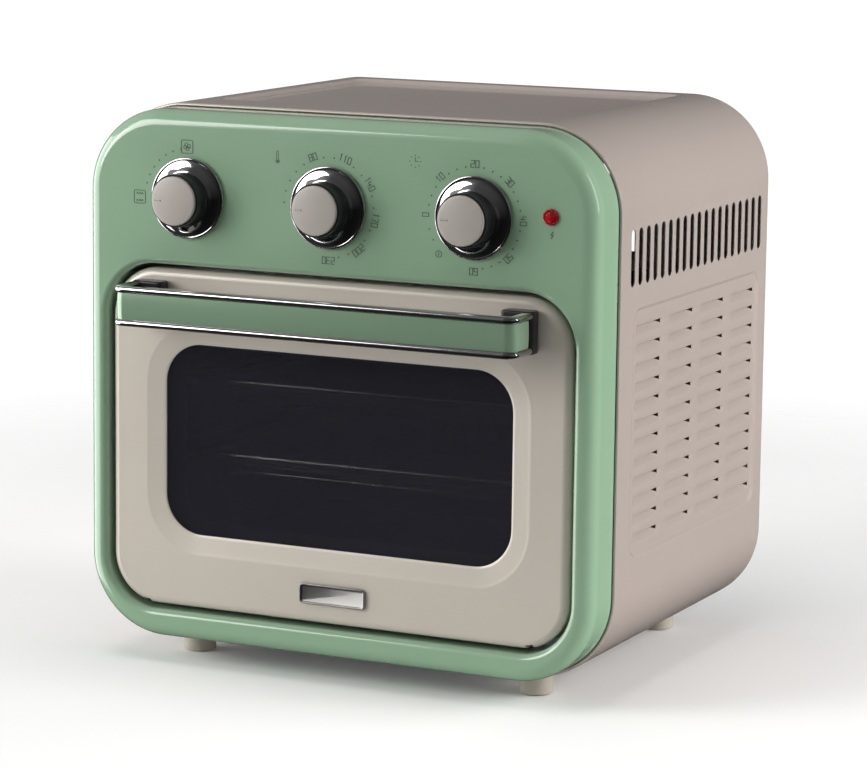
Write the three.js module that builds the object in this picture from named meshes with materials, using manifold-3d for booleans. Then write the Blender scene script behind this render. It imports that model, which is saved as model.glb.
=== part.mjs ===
// A countertop toaster oven: a wrapped casing, a deep front bezel with a drop-down glass door,
// three control knobs, a fan-forced cooking cavity with two baskets and a drip tray.
// Millimetres. X to the right, Y to the back, Z up; the feet stand on Z = 0.
// Depths are measured from the seam between bezel and casing, then the whole oven is centred.
import * as THREE from 'three';
import { mergeVertices } from 'three/addons/utils/BufferGeometryUtils.js';
import Module from 'manifold-3d';

// ---------------------------------------------------------------- driving dimensions
const casingWidth = 340;
const casingHeight = 327;
const casingDepth = 238;
const casingCorner = 52;
const casingWall = 1.2;
const footHeight = 14;
const footRadius = 10;
const footInset = 15;

const bezelDepth = 31;
const bezelInset = 2;
const bezelEdgeRadius = 11;
const bezelWall = 2.5;

const panelHeight = 97.5;
const doorBorder = 18;
const doorSill = 22.5;
const doorCorner = 30;
const doorRecess = 3.3;
const doorGap = 2.6;
const doorEdgeRadius = 5;
const openingEdge = { width: 4, depth: 5 };
const cornerSegments = 8;
const doorSkin = 2.8;
const doorSideWall = 3;
const doorShellDepth = 15.7;

const windowSideMargin = 37;
const windowTopMargin = 45;
const windowRise = 45.5;
const windowCorner = 24;
const windowBevel = 11.5;
const windowBevelDepth = 1.6;
const windowLip = 0.8;
const glassOverlap = 6;
const glassThickness = 4;
const innerGlassThickness = 3;

const handleReach = 35.3;
const handleSetIn = 19.5;
const handleHeight = 24;
const handleThickness = 10;
const handleBend = 8;
const handleDrop = 19.4;
const inlayHeight = 16;
const inlayDepth = 2;
const mountDepth = 11;
const mountWidth = 21;

const hingeRise = 12;
const hingeInset = 3.6;
const hingePinRadius = 1.2;
const hingeArmThickness = 3;
const hingeEyeRadius = 2.4;
const hingeArmDrop = 8;
const hingeSetIn = 24;

const knobSpacing = 94;
const knobRowShift = -3;
const knobDrop = 53.7;
const knobRadius = 24.4;
const knobDishHeight = 4.5;
const gripRadius = 16;
const gripTop = 17.1;
const capRadius = 14.6;
const shaftRadius = 3;
const lampRadius = 4.9;
const lampSetIn = 30.7;
const lampRise = 3.4;

const cavitySideMargin = 24;
const cavityFloorRise = 23.5;
const cavityRoofDrop = 21.5;
const rearSpace = 38;
const sheet = 1;
const rackShares = { lower: 0.4, upper: 0.685 };
const basketDepth = 14;
const rackRod = 5;
const fanHoleMargin = 20;

const clearance = 0.3;
const runningClearance = 0.5;

// ---------------------------------------------------------------- places that follow from them
const halfWidth = casingWidth / 2;
const casingBottom = footHeight;
const casingTop = footHeight + casingHeight;
const bezelFront = -bezelDepth;
const doorFront = bezelFront + doorRecess;
const doorHalfWidth = halfWidth - doorBorder;
const doorLow = casingBottom + doorSill;
const doorHigh = casingTop - panelHeight;
const windowHalfWidth = doorHalfWidth - windowSideMargin;
const windowLow = doorLow + windowRise;
const windowHigh = doorHigh - windowTopMargin;
const handleHalfSpan = doorHalfWidth - handleSetIn;
const handleZ = doorHigh - handleDrop;
const handleFront = doorFront - handleReach;
const hingeX = doorHalfWidth - hingeSetIn;
const hingeY = doorFront + hingeInset;
const hingeZ = doorLow + hingeRise;
const knobZ = casingTop - knobDrop;
const lampX = halfWidth - lampSetIn;
const lampZ = knobZ + lampRise;
const cavityHalfWidth = doorHalfWidth - cavitySideMargin;
const cavityFloor = doorLow + cavityFloorRise;
const cavityRoof = doorHigh - cavityRoofDrop;
const cavityDepth = casingDepth - rearSpace;
const plateFront = -2.5;
const plateThickness = 1.5;
const plateBack = plateFront + plateThickness;
const mouthFront = plateBack + clearance;
const fanY = cavityDepth / 2;
const fanHoleRadius = fanY - fanHoleMargin;
const rearPanelFront = casingDepth - 5;
const rearPanelBack = rearPanelFront + casingWall;
const glandProud = 6;

// ---------------------------------------------------------------- shape helpers
const wasm = await Module();
wasm.setup();

const quarter = Math.PI / 2;

function solid(geometry) {
  const bare = new THREE.BufferGeometry();
  bare.setAttribute('position', geometry.getAttribute('position'));
  bare.setIndex(geometry.index);
  const merged = mergeVertices(bare, 1e-3);
  const vertProperties = merged.attributes.position.array;
  const triVerts = new Uint32Array(merged.index.array);
  return new wasm.Manifold(new wasm.Mesh({ numProp: 3, vertProperties, triVerts }));
}

function geometryOf(body) {
  const mesh = body.getMesh();
  const geometry = new THREE.BufferGeometry();
  geometry.setAttribute('position', new THREE.BufferAttribute(mesh.vertProperties, 3));
  geometry.setIndex(new THREE.BufferAttribute(mesh.triVerts, 1));
  geometry.computeVertexNormals();
  return geometry;
}

// A box between two corners.
function block([x0, y0, z0], [x1, y1, z1]) {
  const box = new THREE.BoxGeometry(x1 - x0, y1 - y0, z1 - z0);
  box.translate((x0 + x1) / 2, (y0 + y1) / 2, (z0 + z1) / 2);
  return solid(box);
}

// A box that is symmetric in X.
function band(half, [y0, z0], [y1, z1]) {
  return block([-half, y0, z0], [half, y1, z1]);
}

function roundedRect(half, low, high, radius) {
  const shape = new THREE.Shape();
  shape.absarc(half - radius, low + radius, radius, -quarter, 0);
  shape.absarc(half - radius, high - radius, radius, 0, quarter);
  shape.absarc(-half + radius, high - radius, radius, quarter, 2 * quarter);
  shape.absarc(-half + radius, low + radius, radius, 2 * quarter, 3 * quarter);
  shape.closePath();
  return shape;
}

// An outline in the XZ plane, made solid from one depth to another.
function slab(shape, front, back, curveSegments = 4) {
  const depth = back - front;
  const geometry = new THREE.ExtrudeGeometry(shape, { depth, bevelEnabled: false, curveSegments });
  return solid(geometry.rotateX(quarter).translate(0, back, 0));
}

// The same, with the front edge rounded over (or chamfered, with one segment).
function softSlab(shape, front, back, round, options = {}) {
  const { depthwise = round, segments = 4, curveSegments = 4 } = options;
  const geometry = new THREE.ExtrudeGeometry(shape, {
    depth: back - front,
    bevelThickness: depthwise,
    bevelSize: round,
    bevelOffset: -round,
    bevelSegments: segments,
    curveSegments,
  });
  geometry.rotateX(quarter).translate(0, back + depthwise, 0);
  const far = 2 * casingWidth;
  return solid(geometry).subtract(band(far, [back, -far], [back + far, far]));
}

// A cut that narrows from one outline to another as it goes back.
function funnel(shapeAt, [wide, front], [narrow, back], curveSegments = 4) {
  const run = wide - narrow;
  const geometry = new THREE.ExtrudeGeometry(shapeAt(wide), {
    depth: 1,
    bevelThickness: back - front,
    bevelSize: run,
    bevelOffset: -run,
    bevelSegments: 1,
    curveSegments,
  });
  return solid(geometry.rotateX(quarter).translate(0, front, 0));
}

// An outline in the YZ plane, made solid from one side to the other.
function plate(points, x0, x1) {
  const shape = new THREE.Shape(points.map(([y, z]) => new THREE.Vector2(y, z)));
  const geometry = new THREE.ExtrudeGeometry(shape, { depth: x1 - x0, bevelEnabled: false });
  const turn = new THREE.Matrix4().makeBasis(new THREE.Vector3(0, 1, 0),
    new THREE.Vector3(0, 0, 1), new THREE.Vector3(1, 0, 0));
  return solid(geometry.applyMatrix4(turn).translate(x0, 0, 0));
}

// A solid of revolution. The profile lists [radius, height] from the bottom up.
function turned(profile, segments = 16) {
  const points = profile.map(([radius, height]) => new THREE.Vector2(radius, height));
  return new THREE.LatheGeometry(points, segments);
}

// A turned piece whose height grows out of the front panel, towards -Y.
function turnedForward(profile, [x, y, z], segments) {
  return solid(turned(profile, segments).rotateX(2 * quarter).translate(x, y, z));
}

// A turned piece that stands up along Z.
function turnedUp(profile, [x, y, z], segments) {
  return solid(turned(profile, segments).rotateX(quarter).translate(x, y, z));
}

function rodX(radius, x0, x1, y, z, sides = 12) {
  const rod = new THREE.CylinderGeometry(radius, radius, x1 - x0, sides);
  return solid(rod.rotateZ(quarter).translate((x0 + x1) / 2, y, z));
}

function rodY(radius, y0, y1, x, z, sides = 12) {
  const rod = new THREE.CylinderGeometry(radius, radius, y1 - y0, sides);
  return solid(rod.translate(x, 0, z).translate(0, (y0 + y1) / 2, 0));
}

function rodZ(radius, z0, z1, x, y, sides = 12) {
  const rod = new THREE.CylinderGeometry(radius, radius, z1 - z0, sides);
  return solid(rod.rotateX(quarter).translate(x, y, (z0 + z1) / 2));
}

function joined(bodies) {
  return bodies.reduce((whole, body) => whole.add(body));
}

function without(body, cuts) {
  return cuts.reduce((left, cut) => left.subtract(cut), body);
}

function spread(count, span) {
  return Array.from({ length: count }, (_, i) => (i / (count - 1) - 0.5) * span);
}

// ---------------------------------------------------------------- materials
const finish = (color, roughness, metalness = 0) => () =>
  new THREE.MeshStandardMaterial({ color, roughness, metalness });

const beigePaint = finish(0xc4bbb2, 0.3, 0.2);
const greenGloss = finish(0x8ea892, 0.15, 0.1);
const chrome = finish(0xd8d8d6, 0.08, 1);
const blackPlastic = finish(0x1c1a1e, 0.4);
const creamPlastic = finish(0xc9c2ba, 0.35);
const tintedGlass = finish(0x17151f, 0.05);
const clearGlass = finish(0xbfc8c8, 0.05);
const zincSheet = finish(0xa9abac, 0.4, 0.9);
const cavitySteel = finish(0x77787a, 0.35, 0.9);
const rackWire = finish(0xb0b0ae, 0.25, 1);
const silicone = finish(0x2a2a2c, 0.7);
const redLens = finish(0xb01820, 0.2);
const heaterSteel = finish(0x5b5552, 0.5, 0.8);
const switchPlastic = finish(0xe6e2d8, 0.5);

// ---------------------------------------------------------------- casing
const ventPitch = 11.4;
const ventWidth = 6;
const ventMargin = 15;
const ventCount = Math.floor((casingDepth - 2 * ventMargin) / ventPitch) + 1;
const ventHigh = casingTop - 60.5;
const ventLow = ventHigh - 33.5;
const ventMiddle = casingDepth / 2 + 1.5;

function casingShell() {
  const outline = roundedRect(halfWidth, casingBottom, casingTop, casingCorner);
  const bore = roundedRect(halfWidth - casingWall, casingBottom + casingWall,
    casingTop - casingWall, casingCorner - casingWall);
  const shell = slab(outline, 0, casingDepth).subtract(slab(bore, -1, casingDepth + 1));
  const floorGap = band(halfWidth - 80, [-1, 0], [casingDepth + 1, casingBottom + 10]);
  return shell.subtract(floorGap);
}

function topRecess(shell) {
  const [half, front, back, sink] = [halfWidth - 55, 34, casingDepth - 12, 2.5];
  const floor = casingTop - sink;
  const pan = band(half + casingWall, [front - casingWall, floor - casingWall],
    [back + casingWall, casingTop - casingWall / 2]);
  const hollow = band(half, [front, floor], [back, casingTop + 1]);
  return shell.add(pan).subtract(hollow);
}

function ventSlots() {
  const far = halfWidth + 1;
  return spread(ventCount, (ventCount - 1) * ventPitch).map((offset) => {
    const y = ventMiddle + offset;
    return band(far, [y - ventWidth / 2, ventLow], [y + ventWidth / 2, ventHigh]);
  });
}

function outerCasing() {
  return without(topRecess(casingShell()), ventSlots());
}

function basePlate() {
  const lift = casingBottom + casingWall + clearance;
  const half = halfWidth - casingCorner - 6;
  const plate = band(half, [2, lift], [rearPanelFront - clearance, lift + casingWall]);
  const slots = spread(6, casingDepth - 88).map((offset) => {
    const y = casingDepth / 2 + offset;
    return band(half - 60, [y - 4, lift - 1], [y + 4, lift + casingWall + 1]);
  });
  return without(plate, slots);
}

const glandPlace = [-(halfWidth - casingCorner), casingBottom + 38];
const glandHole = 7.6;
const screwPlaces = [-1, 1].flatMap((side) => [
  [side * (halfWidth - 30), casingBottom + 62],
  [side * (halfWidth - 30), casingTop - 62],
]);

function rearPanel() {
  const inset = casingWall + clearance;
  const outline = roundedRect(halfWidth - inset, casingBottom + inset, casingTop - inset,
    casingCorner - inset);
  const panel = slab(outline, rearPanelFront, rearPanelBack);
  const through = [rearPanelFront - 1, rearPanelBack + 1];
  const vents = spread(9, 160).flatMap((x) => [casingTop - 75, casingTop - 190].map((z) =>
    block([x - 3, through[0], z - 28], [x + 3, through[1], z + 28])));
  const gland = rodY(glandHole, ...through, ...glandPlace, 16);
  const screws = screwPlaces.map((place) => rodY(2, ...through, ...place, 8));
  return without(panel, [...vents, gland, ...screws]);
}

function rearScrew([x, z]) {
  const [shank, head] = [1.6, 4];
  const seat = clearance;
  const profile = [[0, -6], [shank, -6], [shank, seat], [head, seat], [head, 1.8], [0, 2.3]];
  return solid(turned(profile, 8).translate(x, rearPanelBack, z));
}

function cordGland() {
  const grip = glandHole - clearance;
  const bore = 4;
  const flange = glandHole + 3.4;
  const inner = rearPanelFront - 10;
  const outer = rearPanelBack + clearance;
  const end = casingDepth + glandProud;
  const profile = [
    [bore, inner], [grip, inner], [grip, outer], [flange, outer], [flange, outer + 3],
    [grip, end], [bore, end], [bore, inner],
  ];
  return solid(turned(profile, 16).translate(glandPlace[0], 0, glandPlace[1]));
}

function foot(x, y) {
  const top = casingBottom - clearance;
  return turnedUp([[0, 0], [footRadius - 1, 0], [footRadius, 1.5], [footRadius, top], [0, top]],
    [x, y, 0]);
}

// ---------------------------------------------------------------- front bezel and chassis
const bezelHalf = halfWidth - bezelInset;
const bezelLow = casingBottom + bezelInset;
const bezelHigh = casingTop - bezelInset;
const bezelCorner = casingCorner - bezelInset;
const knobPlaces = [-1, 0, 1].map((i) => [knobRowShift + i * knobSpacing, knobZ]);
const lampHole = 4;

function doorOpening(margin) {
  return roundedRect(doorHalfWidth + margin, doorLow - margin, doorHigh + margin,
    doorCorner + margin);
}

// The rounded front edge of the door opening, in facets.
function openingRound() {
  const facets = 3;
  const steps = Array.from({ length: facets + 1 }, (_, i) => {
    const turn = (i / facets) * quarter;
    const grow = doorGap + openingEdge.width * (1 - Math.sin(turn));
    return [grow, bezelFront + openingEdge.depth * (1 - Math.cos(turn))];
  });
  return steps.slice(1).map((step, i) => funnel(doorOpening, steps[i], step, cornerSegments));
}

function frontBezel() {
  const back = -clearance;
  const outline = roundedRect(bezelHalf, bezelLow, bezelHigh, bezelCorner);
  const outer = softSlab(outline, bezelFront, back, bezelEdgeRadius);
  const hollowShape = roundedRect(bezelHalf - bezelWall, bezelLow + bezelWall,
    bezelHigh - bezelWall, bezelCorner - bezelWall);
  const hollow = softSlab(hollowShape, bezelFront + bezelWall, back + 1,
    bezelEdgeRadius - bezelWall);
  const sleeve = slab(doorOpening(doorGap + bezelWall), bezelFront, plateFront - clearance,
    cornerSegments);
  const opening = slab(doorOpening(doorGap), bezelFront - 1, 1, cornerSegments);
  const through = [bezelFront - 1, bezelFront + bezelWall + 1];
  const shaftHoles = knobPlaces.map((place) => rodY(shaftRadius + 1, ...through, ...place));
  const lamp = rodY(lampHole, ...through, lampX, lampZ);
  const shell = outer.subtract(hollow.subtract(sleeve));
  return without(shell, [opening, ...openingRound(), ...shaftHoles, lamp]);
}

const bushRadius = 5;
const bracketSlot = hingeArmThickness / 2 + clearance;
const armTop = hingeEyeRadius - 0.2;

function chassisFront() {
  const inset = bezelWall + 1;
  const outline = roundedRect(bezelHalf - inset, bezelLow + inset, bezelHigh - inset,
    bezelCorner - inset);
  const plate = slab(outline, plateFront, plateBack);
  const through = [plateFront - 1, plateBack + 1];
  const mouth = band(cavityHalfWidth, [through[0], cavityFloor], [through[1], cavityRoof]);
  const bushes = knobPlaces.map((place) => rodY(bushRadius + runningClearance, ...through,
    ...place));
  const hingeSlots = [-1, 1].map((side) => {
    const x = side * hingeX;
    const [low, high] = [hingeZ - hingeArmDrop, hingeZ + armTop];
    return block([x - bracketSlot, through[0], low - clearance],
      [x + bracketSlot, through[1], high + clearance]);
  });
  return without(plate, [mouth, ...bushes, ...hingeSlots]);
}

// The seal round the cavity mouth, on the chassis face.
function doorGasket() {
  const [inner, width, thick] = [3, 6, 2.2];
  const ring = (grow) => roundedRect(cavityHalfWidth + grow, cavityFloor - grow,
    cavityRoof + grow, 8 + grow);
  const front = plateFront - clearance - thick;
  const back = plateFront - clearance;
  return slab(ring(inner + width), front, back, 2)
    .subtract(slab(ring(inner), front - 1, back + 1, 2));
}

// ---------------------------------------------------------------- cooking cavity
function cavityLiner() {
  const outer = band(cavityHalfWidth + sheet, [mouthFront, cavityFloor - sheet],
    [cavityDepth + sheet, cavityRoof + sheet]);
  const flange = 7;
  const collar = band(cavityHalfWidth + flange, [mouthFront, cavityFloor - flange],
    [mouthFront + sheet, cavityRoof + flange]);
  const inside = band(cavityHalfWidth, [mouthFront - 1, cavityFloor], [cavityDepth, cavityRoof]);
  const fanHole = rodZ(fanHoleRadius, cavityRoof - 1, cavityRoof + sheet + 1, 0, fanY, 24);
  return without(outer.add(collar), [inside, fanHole]);
}

const rackHalfWidth = cavityHalfWidth - 9;
const rackFront = 10;
const rackBack = cavityDepth - 8;
const railBack = cavityDepth - 10;
const rackHeight = (share) => cavityFloor + share * (cavityRoof - cavityFloor);
const rackHeights = {
  lower: rackHeight(rackShares.lower),
  upper: rackHeight(rackShares.upper),
};

function rackRail(side) {
  const wall = cavityHalfWidth - clearance;
  const mirror = (x) => side * x;
  const between = (near, far, low, high) => {
    const [x0, x1] = [mirror(near), mirror(far)].sort((a, b) => a - b);
    return block([x0, 6, low], [x1, railBack, high]);
  };
  const strip = between(wall - sheet, wall, cavityFloor + 20, cavityRoof - 20);
  const ledges = Object.values(rackHeights).flatMap((rim) => {
    const reach = rackHalfWidth - rackRod + 1;
    const under = rim - rackRod / 2 - clearance;
    const over = rim + rackRod / 2 + 1;
    return [between(reach, wall, under - 2.5, under), between(reach, wall, over, over + 2.5)];
  });
  return joined([strip, ...ledges]);
}

// A basket with a square rod rim round a shallow pan.
function rack(rim) {
  const half = rackRod / 2;
  const top = rim + half;
  const outer = rackHalfWidth - rackRod;
  const wall = 1.2;
  const floor = rim - basketDepth;
  const [front, back] = [rackFront + rackRod, rackBack - rackRod];
  const rimRing = band(rackHalfWidth, [rackFront, rim - half], [rackBack, top]);
  const basket = band(outer, [front, floor], [back, top]);
  const hollow = band(outer - wall, [front + wall, floor + wall], [back - wall, top + 1]);
  return rimRing.add(basket).subtract(hollow);
}

const dripFront = 16;

function dripTray() {
  const half = cavityHalfWidth - 8;
  const low = cavityFloor + 2;
  const high = low + 13;
  const back = cavityDepth - 6;
  const pan = band(half, [dripFront, low], [back, high]);
  const hollow = band(half - sheet, [dripFront + sheet, low + sheet], [back - sheet, high + 1]);
  return pan.subtract(hollow);
}

// ---------------------------------------------------------------- hot-air system
const roofTop = cavityRoof + sheet;
const housingRadius = fanHoleRadius + 8;
const housingTop = roofTop + 36;
const fanShaftRadius = 3;
const coilRod = 3.2;
const coilZ = roofTop + 9;
const coilRadius = fanHoleRadius - 14;
const coilPitch = 10;
const coilTurns = 1.5;
const terminalX = coilRadius - 4;
const hotFanRadius = coilRadius - coilTurns * coilPitch - coilRod;
const bridgeZ = housingTop + 20;

function fanHousing() {
  const base = roofTop + clearance;
  const flange = housingRadius + 7;
  const inner = housingRadius - sheet;
  const hole = fanShaftRadius + 3;
  const top = housingTop;
  const profile = [
    [inner, base], [flange, base], [flange, base + sheet], [housingRadius, base + sheet],
    [housingRadius, top], [hole, top], [hole, top - sheet], [inner, top - sheet], [inner, base],
  ];
  const holes = [-1, 1].map((side) => rodZ(coilRod + 1, top - sheet - 1, top + 1,
    side * terminalX, fanY, 8));
  return without(turnedUp(profile, [0, fanY, 0], 24), holes);
}

// A tubular element: up through one hole, round one and a half turns, and up through the other.
function heaterCoil() {
  const points = [];
  const terminalTop = housingTop + 12;
  points.push(new THREE.Vector3(terminalX, 0, terminalTop));
  points.push(new THREE.Vector3(terminalX, 0, (terminalTop + coilZ) / 2));
  points.push(new THREE.Vector3(terminalX, 4, coilZ + 5));
  const steps = 18;
  for (let i = 1; i < steps; i += 1) {
    const share = i / steps;
    const angle = share * coilTurns * 4 * quarter;
    const radius = coilRadius - coilPitch * share * coilTurns;
    points.push(new THREE.Vector3(radius * Math.cos(angle), radius * Math.sin(angle), coilZ));
  }
  points.push(new THREE.Vector3(-terminalX, 4, coilZ + 5));
  points.push(new THREE.Vector3(-terminalX, 0, (terminalTop + coilZ) / 2));
  points.push(new THREE.Vector3(-terminalX, 0, terminalTop));
  const path = new THREE.CatmullRomCurve3(points, false, 'centripetal');
  const section = new THREE.Shape();
  section.absarc(0, 0, coilRod, 0, 4 * quarter);
  const geometry = new THREE.ExtrudeGeometry(section,
    { extrudePath: path, steps: 48, curveSegments: 3 });
  return solid(geometry.translate(0, fanY, 0));
}

function fanGuard() {
  const [low, high] = [cavityRoof - clearance - sheet, cavityRoof - clearance];
  const disc = rodZ(fanHoleRadius + 5, low, high, 0, fanY, 24);
  const holeRadius = fanHoleRadius * 0.14;
  const rings = [[6, fanHoleRadius * 0.36], [12, fanHoleRadius * 0.72]];
  const holes = rings.flatMap(([count, radius]) => Array.from({ length: count }, (_, i) => {
    const angle = (i / count) * 4 * quarter;
    const [x, y] = [radius * Math.cos(angle), fanY + radius * Math.sin(angle)];
    return rodZ(holeRadius, low - 1, high + 1, x, y, 6);
  }));
  return without(disc, holes);
}

function fanWheel(low, high, radius) {
  const bore = fanShaftRadius + clearance;
  const hub = rodZ(11, low, high, 0, fanY, 12);
  const blades = Array.from({ length: 8 }, (_, i) => {
    const blade = new THREE.BoxGeometry(radius - 8, 1.4, high - low - 2);
    blade.translate(8 + (radius - 8) / 2, 0, (low + high) / 2);
    return solid(blade.rotateZ((i / 8) * 4 * quarter).translate(0, fanY, 0));
  });
  return joined([hub, ...blades]).subtract(rodZ(bore, low - 1, high + 1, 0, fanY, 12));
}

const motorRadius = 30;
const motorBase = bridgeZ + plateThickness + clearance;
const motorTop = motorBase + 36;
const motorBore = fanShaftRadius + clearance;

function fanMotor() {
  const hole = motorBase + 12;
  const profile = [
    [0, hole], [motorBore, hole], [motorBore, motorBase], [motorRadius, motorBase],
    [motorRadius, motorTop - 4], [motorRadius - 4, motorTop], [0, motorTop],
  ];
  return turnedUp(profile, [0, fanY, 0]);
}

// A bridge strap that carries the motor over the fan housing.
function motorBracket() {
  const [half, reach, thick] = [20, housingRadius + 22, plateThickness];
  const base = roofTop + clearance;
  const [y0, y1] = [fanY - half, fanY + half];
  const outer = band(reach, [y0, base], [y1, bridgeZ + thick]);
  const under = band(reach - thick, [y0 - 1, base - 1], [y1 + 1, bridgeZ]);
  const feet = [-1, 1].map((side) => {
    const [x0, x1] = [side * (reach - 1), side * (reach + 12)].sort((a, b) => a - b);
    return block([x0, y0, base], [x1, y1, base + thick]);
  });
  const hole = rodZ(fanShaftRadius + 4, bridgeZ - 1, bridgeZ + thick + 1, 0, fanY);
  return joined([outer.subtract(under), ...feet]).subtract(hole);
}

function thermalCutout() {
  const base = roofTop + clearance;
  const place = [cavityHalfWidth - 22, cavityDepth - 20];
  return joined([
    block([place[0] - 12, place[1] - 6, base], [place[0] + 12, place[1] + 6, base + 2]),
    rodZ(8, base + 1, base + 11, ...place),
  ]);
}

// ---------------------------------------------------------------- door
const doorBack = doorFront + doorShellDepth;
const glassFront = doorFront + windowBevelDepth + windowLip + clearance;
const innerPanelFront = doorBack + clearance;
const innerPanelDepth = 5;
const innerPanelBack = innerPanelFront + innerPanelDepth;
const hingeNotch = hingeArmThickness / 2 + 1.5;

function windowShape(grow) {
  return roundedRect(windowHalfWidth + grow, windowLow - grow, windowHigh + grow,
    windowCorner + grow);
}

// Room for the fixed hinge arm as the door turns round it.
function hingeNotches() {
  const reach = hingeEyeRadius + 0.4;
  return [-1, 1].map((side) => {
    const x = side * hingeX;
    return block([x - hingeNotch, hingeY - reach, doorLow - 1],
      [x + hingeNotch, innerPanelBack + 1, hingeZ + reach]);
  });
}

function doorFrame() {
  const outer = softSlab(doorOpening(0), doorFront, doorBack, doorEdgeRadius,
    { segments: 4, curveSegments: cornerSegments });
  const shelf = doorFront + doorSkin;
  const hollow = slab(doorOpening(-doorSideWall), shelf, doorBack + 1, 3);
  const rimPocket = slab(windowShape(glassOverlap + clearance), glassFront - clearance, shelf + 1);
  const hole = slab(windowShape(0), doorFront - 1, doorBack);
  const bosses = [-1, 1].map((side) => {
    const x = side * hingeX;
    return block([x - 10, shelf - 0.5, doorLow + doorSideWall - 0.5],
      [x + 10, doorBack, hingeZ + 9]);
  });
  const bore = rodX(hingePinRadius + clearance, -halfWidth, halfWidth, hingeY, hingeZ);
  const pinChannel = bore.intersect(joined([-1, 1].map((side) => {
    const x = side * hingeX;
    return block([x - 11, hingeY - 9, hingeZ - 9], [x + 11, hingeY + 9, hingeZ + 9]);
  })));
  const shell = outer.subtract(hollow);
  return without(joined([shell, ...bosses]),
    [rimPocket, bevelCut(), hole, pinChannel, ...hingeNotches()]);
}

// The bevel round the window: wide at the face, as narrow as the window behind.
function bevelCut() {
  return funnel(windowShape, [windowBevel, doorFront], [0, doorFront + windowBevelDepth]);
}

function doorGlass() {
  return slab(windowShape(glassOverlap), glassFront, glassFront + glassThickness);
}

function doorInnerGlass() {
  const back = innerPanelFront - clearance;
  return slab(windowShape(glassOverlap), back - innerGlassThickness, back);
}

// A pressed pan that faces the cavity, open at the front, with its own window.
function doorInnerPanel() {
  const shape = (inset) => roundedRect(doorHalfWidth - 4 - inset, doorLow + 6 + inset,
    doorHigh - 4 - inset, doorCorner - 6 - inset);
  const pan = slab(shape(0), innerPanelFront, innerPanelBack, 3)
    .subtract(slab(shape(sheet), innerPanelFront - 1, innerPanelBack - sheet, 3));
  const hole = slab(windowShape(-4), innerPanelFront - 1, innerPanelBack + 1, 3);
  return without(pan, [hole, ...hingeNotches()]);
}

function badgePlate() {
  const [half, low, high, thick] = [22, doorLow + 12, doorLow + 24.5, 1.8];
  const back = doorFront - clearance;
  const plate = softSlab(roundedRect(half, low, high, 2), back - thick, back, 0.6,
    { segments: 1, curveSegments: 1 });
  const field = band(half - 1.6, [back - thick - 1, low + 1.6], [back - thick + 0.6, high - 1.6]);
  return plate.subtract(field);
}

// ---------------------------------------------------------------- handle
// The strap in plan: across the front, round both corners and back towards the door.
function strapShape(offset, thickness, legEnd) {
  const half = handleHalfSpan - offset;
  const front = -handleFront - offset;
  const bend = handleBend - offset;
  const inner = Math.max(bend - thickness, 1);
  const shape = new THREE.Shape();
  shape.moveTo(half, -legEnd);
  shape.absarc(half - bend, front - bend, bend, 0, quarter);
  shape.absarc(-half + bend, front - bend, bend, quarter, 2 * quarter);
  shape.lineTo(-half, -legEnd);
  shape.lineTo(-half + thickness, -legEnd);
  shape.absarc(-half + thickness + inner, front - thickness - inner, inner, 2 * quarter, quarter,
    true);
  shape.absarc(half - thickness - inner, front - thickness - inner, inner, quarter, 0, true);
  shape.lineTo(half - thickness, -legEnd);
  shape.closePath();
  return shape;
}

// A plan outline (X, -Y) made solid from one height to another.
function upright(shape, low, high, edge = 0) {
  const geometry = new THREE.ExtrudeGeometry(shape, {
    depth: high - low - 2 * edge,
    bevelEnabled: edge > 0,
    bevelThickness: edge,
    bevelSize: edge,
    bevelOffset: -edge,
    bevelSegments: 2,
    curveSegments: 3,
  });
  return solid(geometry.rotateX(2 * quarter).translate(0, 0, high - edge));
}

const legEnd = doorFront - mountDepth - 2 * clearance;

function handleBar() {
  const bar = upright(strapShape(0, handleThickness, legEnd), handleZ - handleHeight / 2,
    handleZ + handleHeight / 2, 1.6);
  const groove = upright(strapShape(-1, inlayDepth + 1, legEnd - 2), handleZ - inlayHeight / 2,
    handleZ + inlayHeight / 2);
  return bar.subtract(groove);
}

function handleInlay() {
  const height = inlayHeight - 2 * clearance;
  return upright(strapShape(0.2, inlayDepth - 0.2 - clearance, legEnd - 2 - clearance),
    handleZ - height / 2, handleZ + height / 2);
}

function handleMount(side) {
  const [x0, x1] = [side * (handleHalfSpan - mountWidth), side * (handleHalfSpan - 0.5)]
    .sort((a, b) => a - b);
  const half = handleHeight / 2 + 0.5;
  const back = doorFront - clearance;
  return block([x0, back - mountDepth, handleZ - half], [x1, back, handleZ + half]);
}

// ---------------------------------------------------------------- hinges
function hingePin(side) {
  const [x0, x1] = [side * (hingeX - 9), side * (hingeX + 9)].sort((a, b) => a - b);
  return rodX(hingePinRadius, x0, x1, hingeY, hingeZ);
}

// A plate that stands out from the chassis: slim where the door's edge turns round it, then deep.
function hingeBracket(side) {
  const x = side * hingeX;
  const half = hingeArmThickness / 2;
  const back = plateBack + clearance + plateThickness;
  const step = hingeY + hingeRise + 2;
  const eye = rodX(hingeEyeRadius, x - half, x + half, hingeY, hingeZ, 16);
  const arm = plate([
    [hingeY, hingeZ - hingeEyeRadius], [step, hingeZ - hingeEyeRadius],
    [step, hingeZ - hingeArmDrop], [back, hingeZ - hingeArmDrop],
    [back, hingeZ + armTop], [hingeY, hingeZ + armTop],
  ], x - half, x + half);
  const tab = block([x - half, plateBack + clearance, hingeZ - 2.5 * hingeArmDrop],
    [x + 10, back, hingeZ + armTop]);
  const bore = rodX(hingePinRadius + clearance, x - 5, x + 5, hingeY, hingeZ);
  return joined([eye, arm, tab]).subtract(bore);
}

// ---------------------------------------------------------------- knobs and controls
const knobBase = bezelFront - runningClearance;
const capPocketFloor = gripTop - 2.2;
const capBase = capPocketFloor + clearance;
const shaftReach = capPocketFloor - 3.9;

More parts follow.
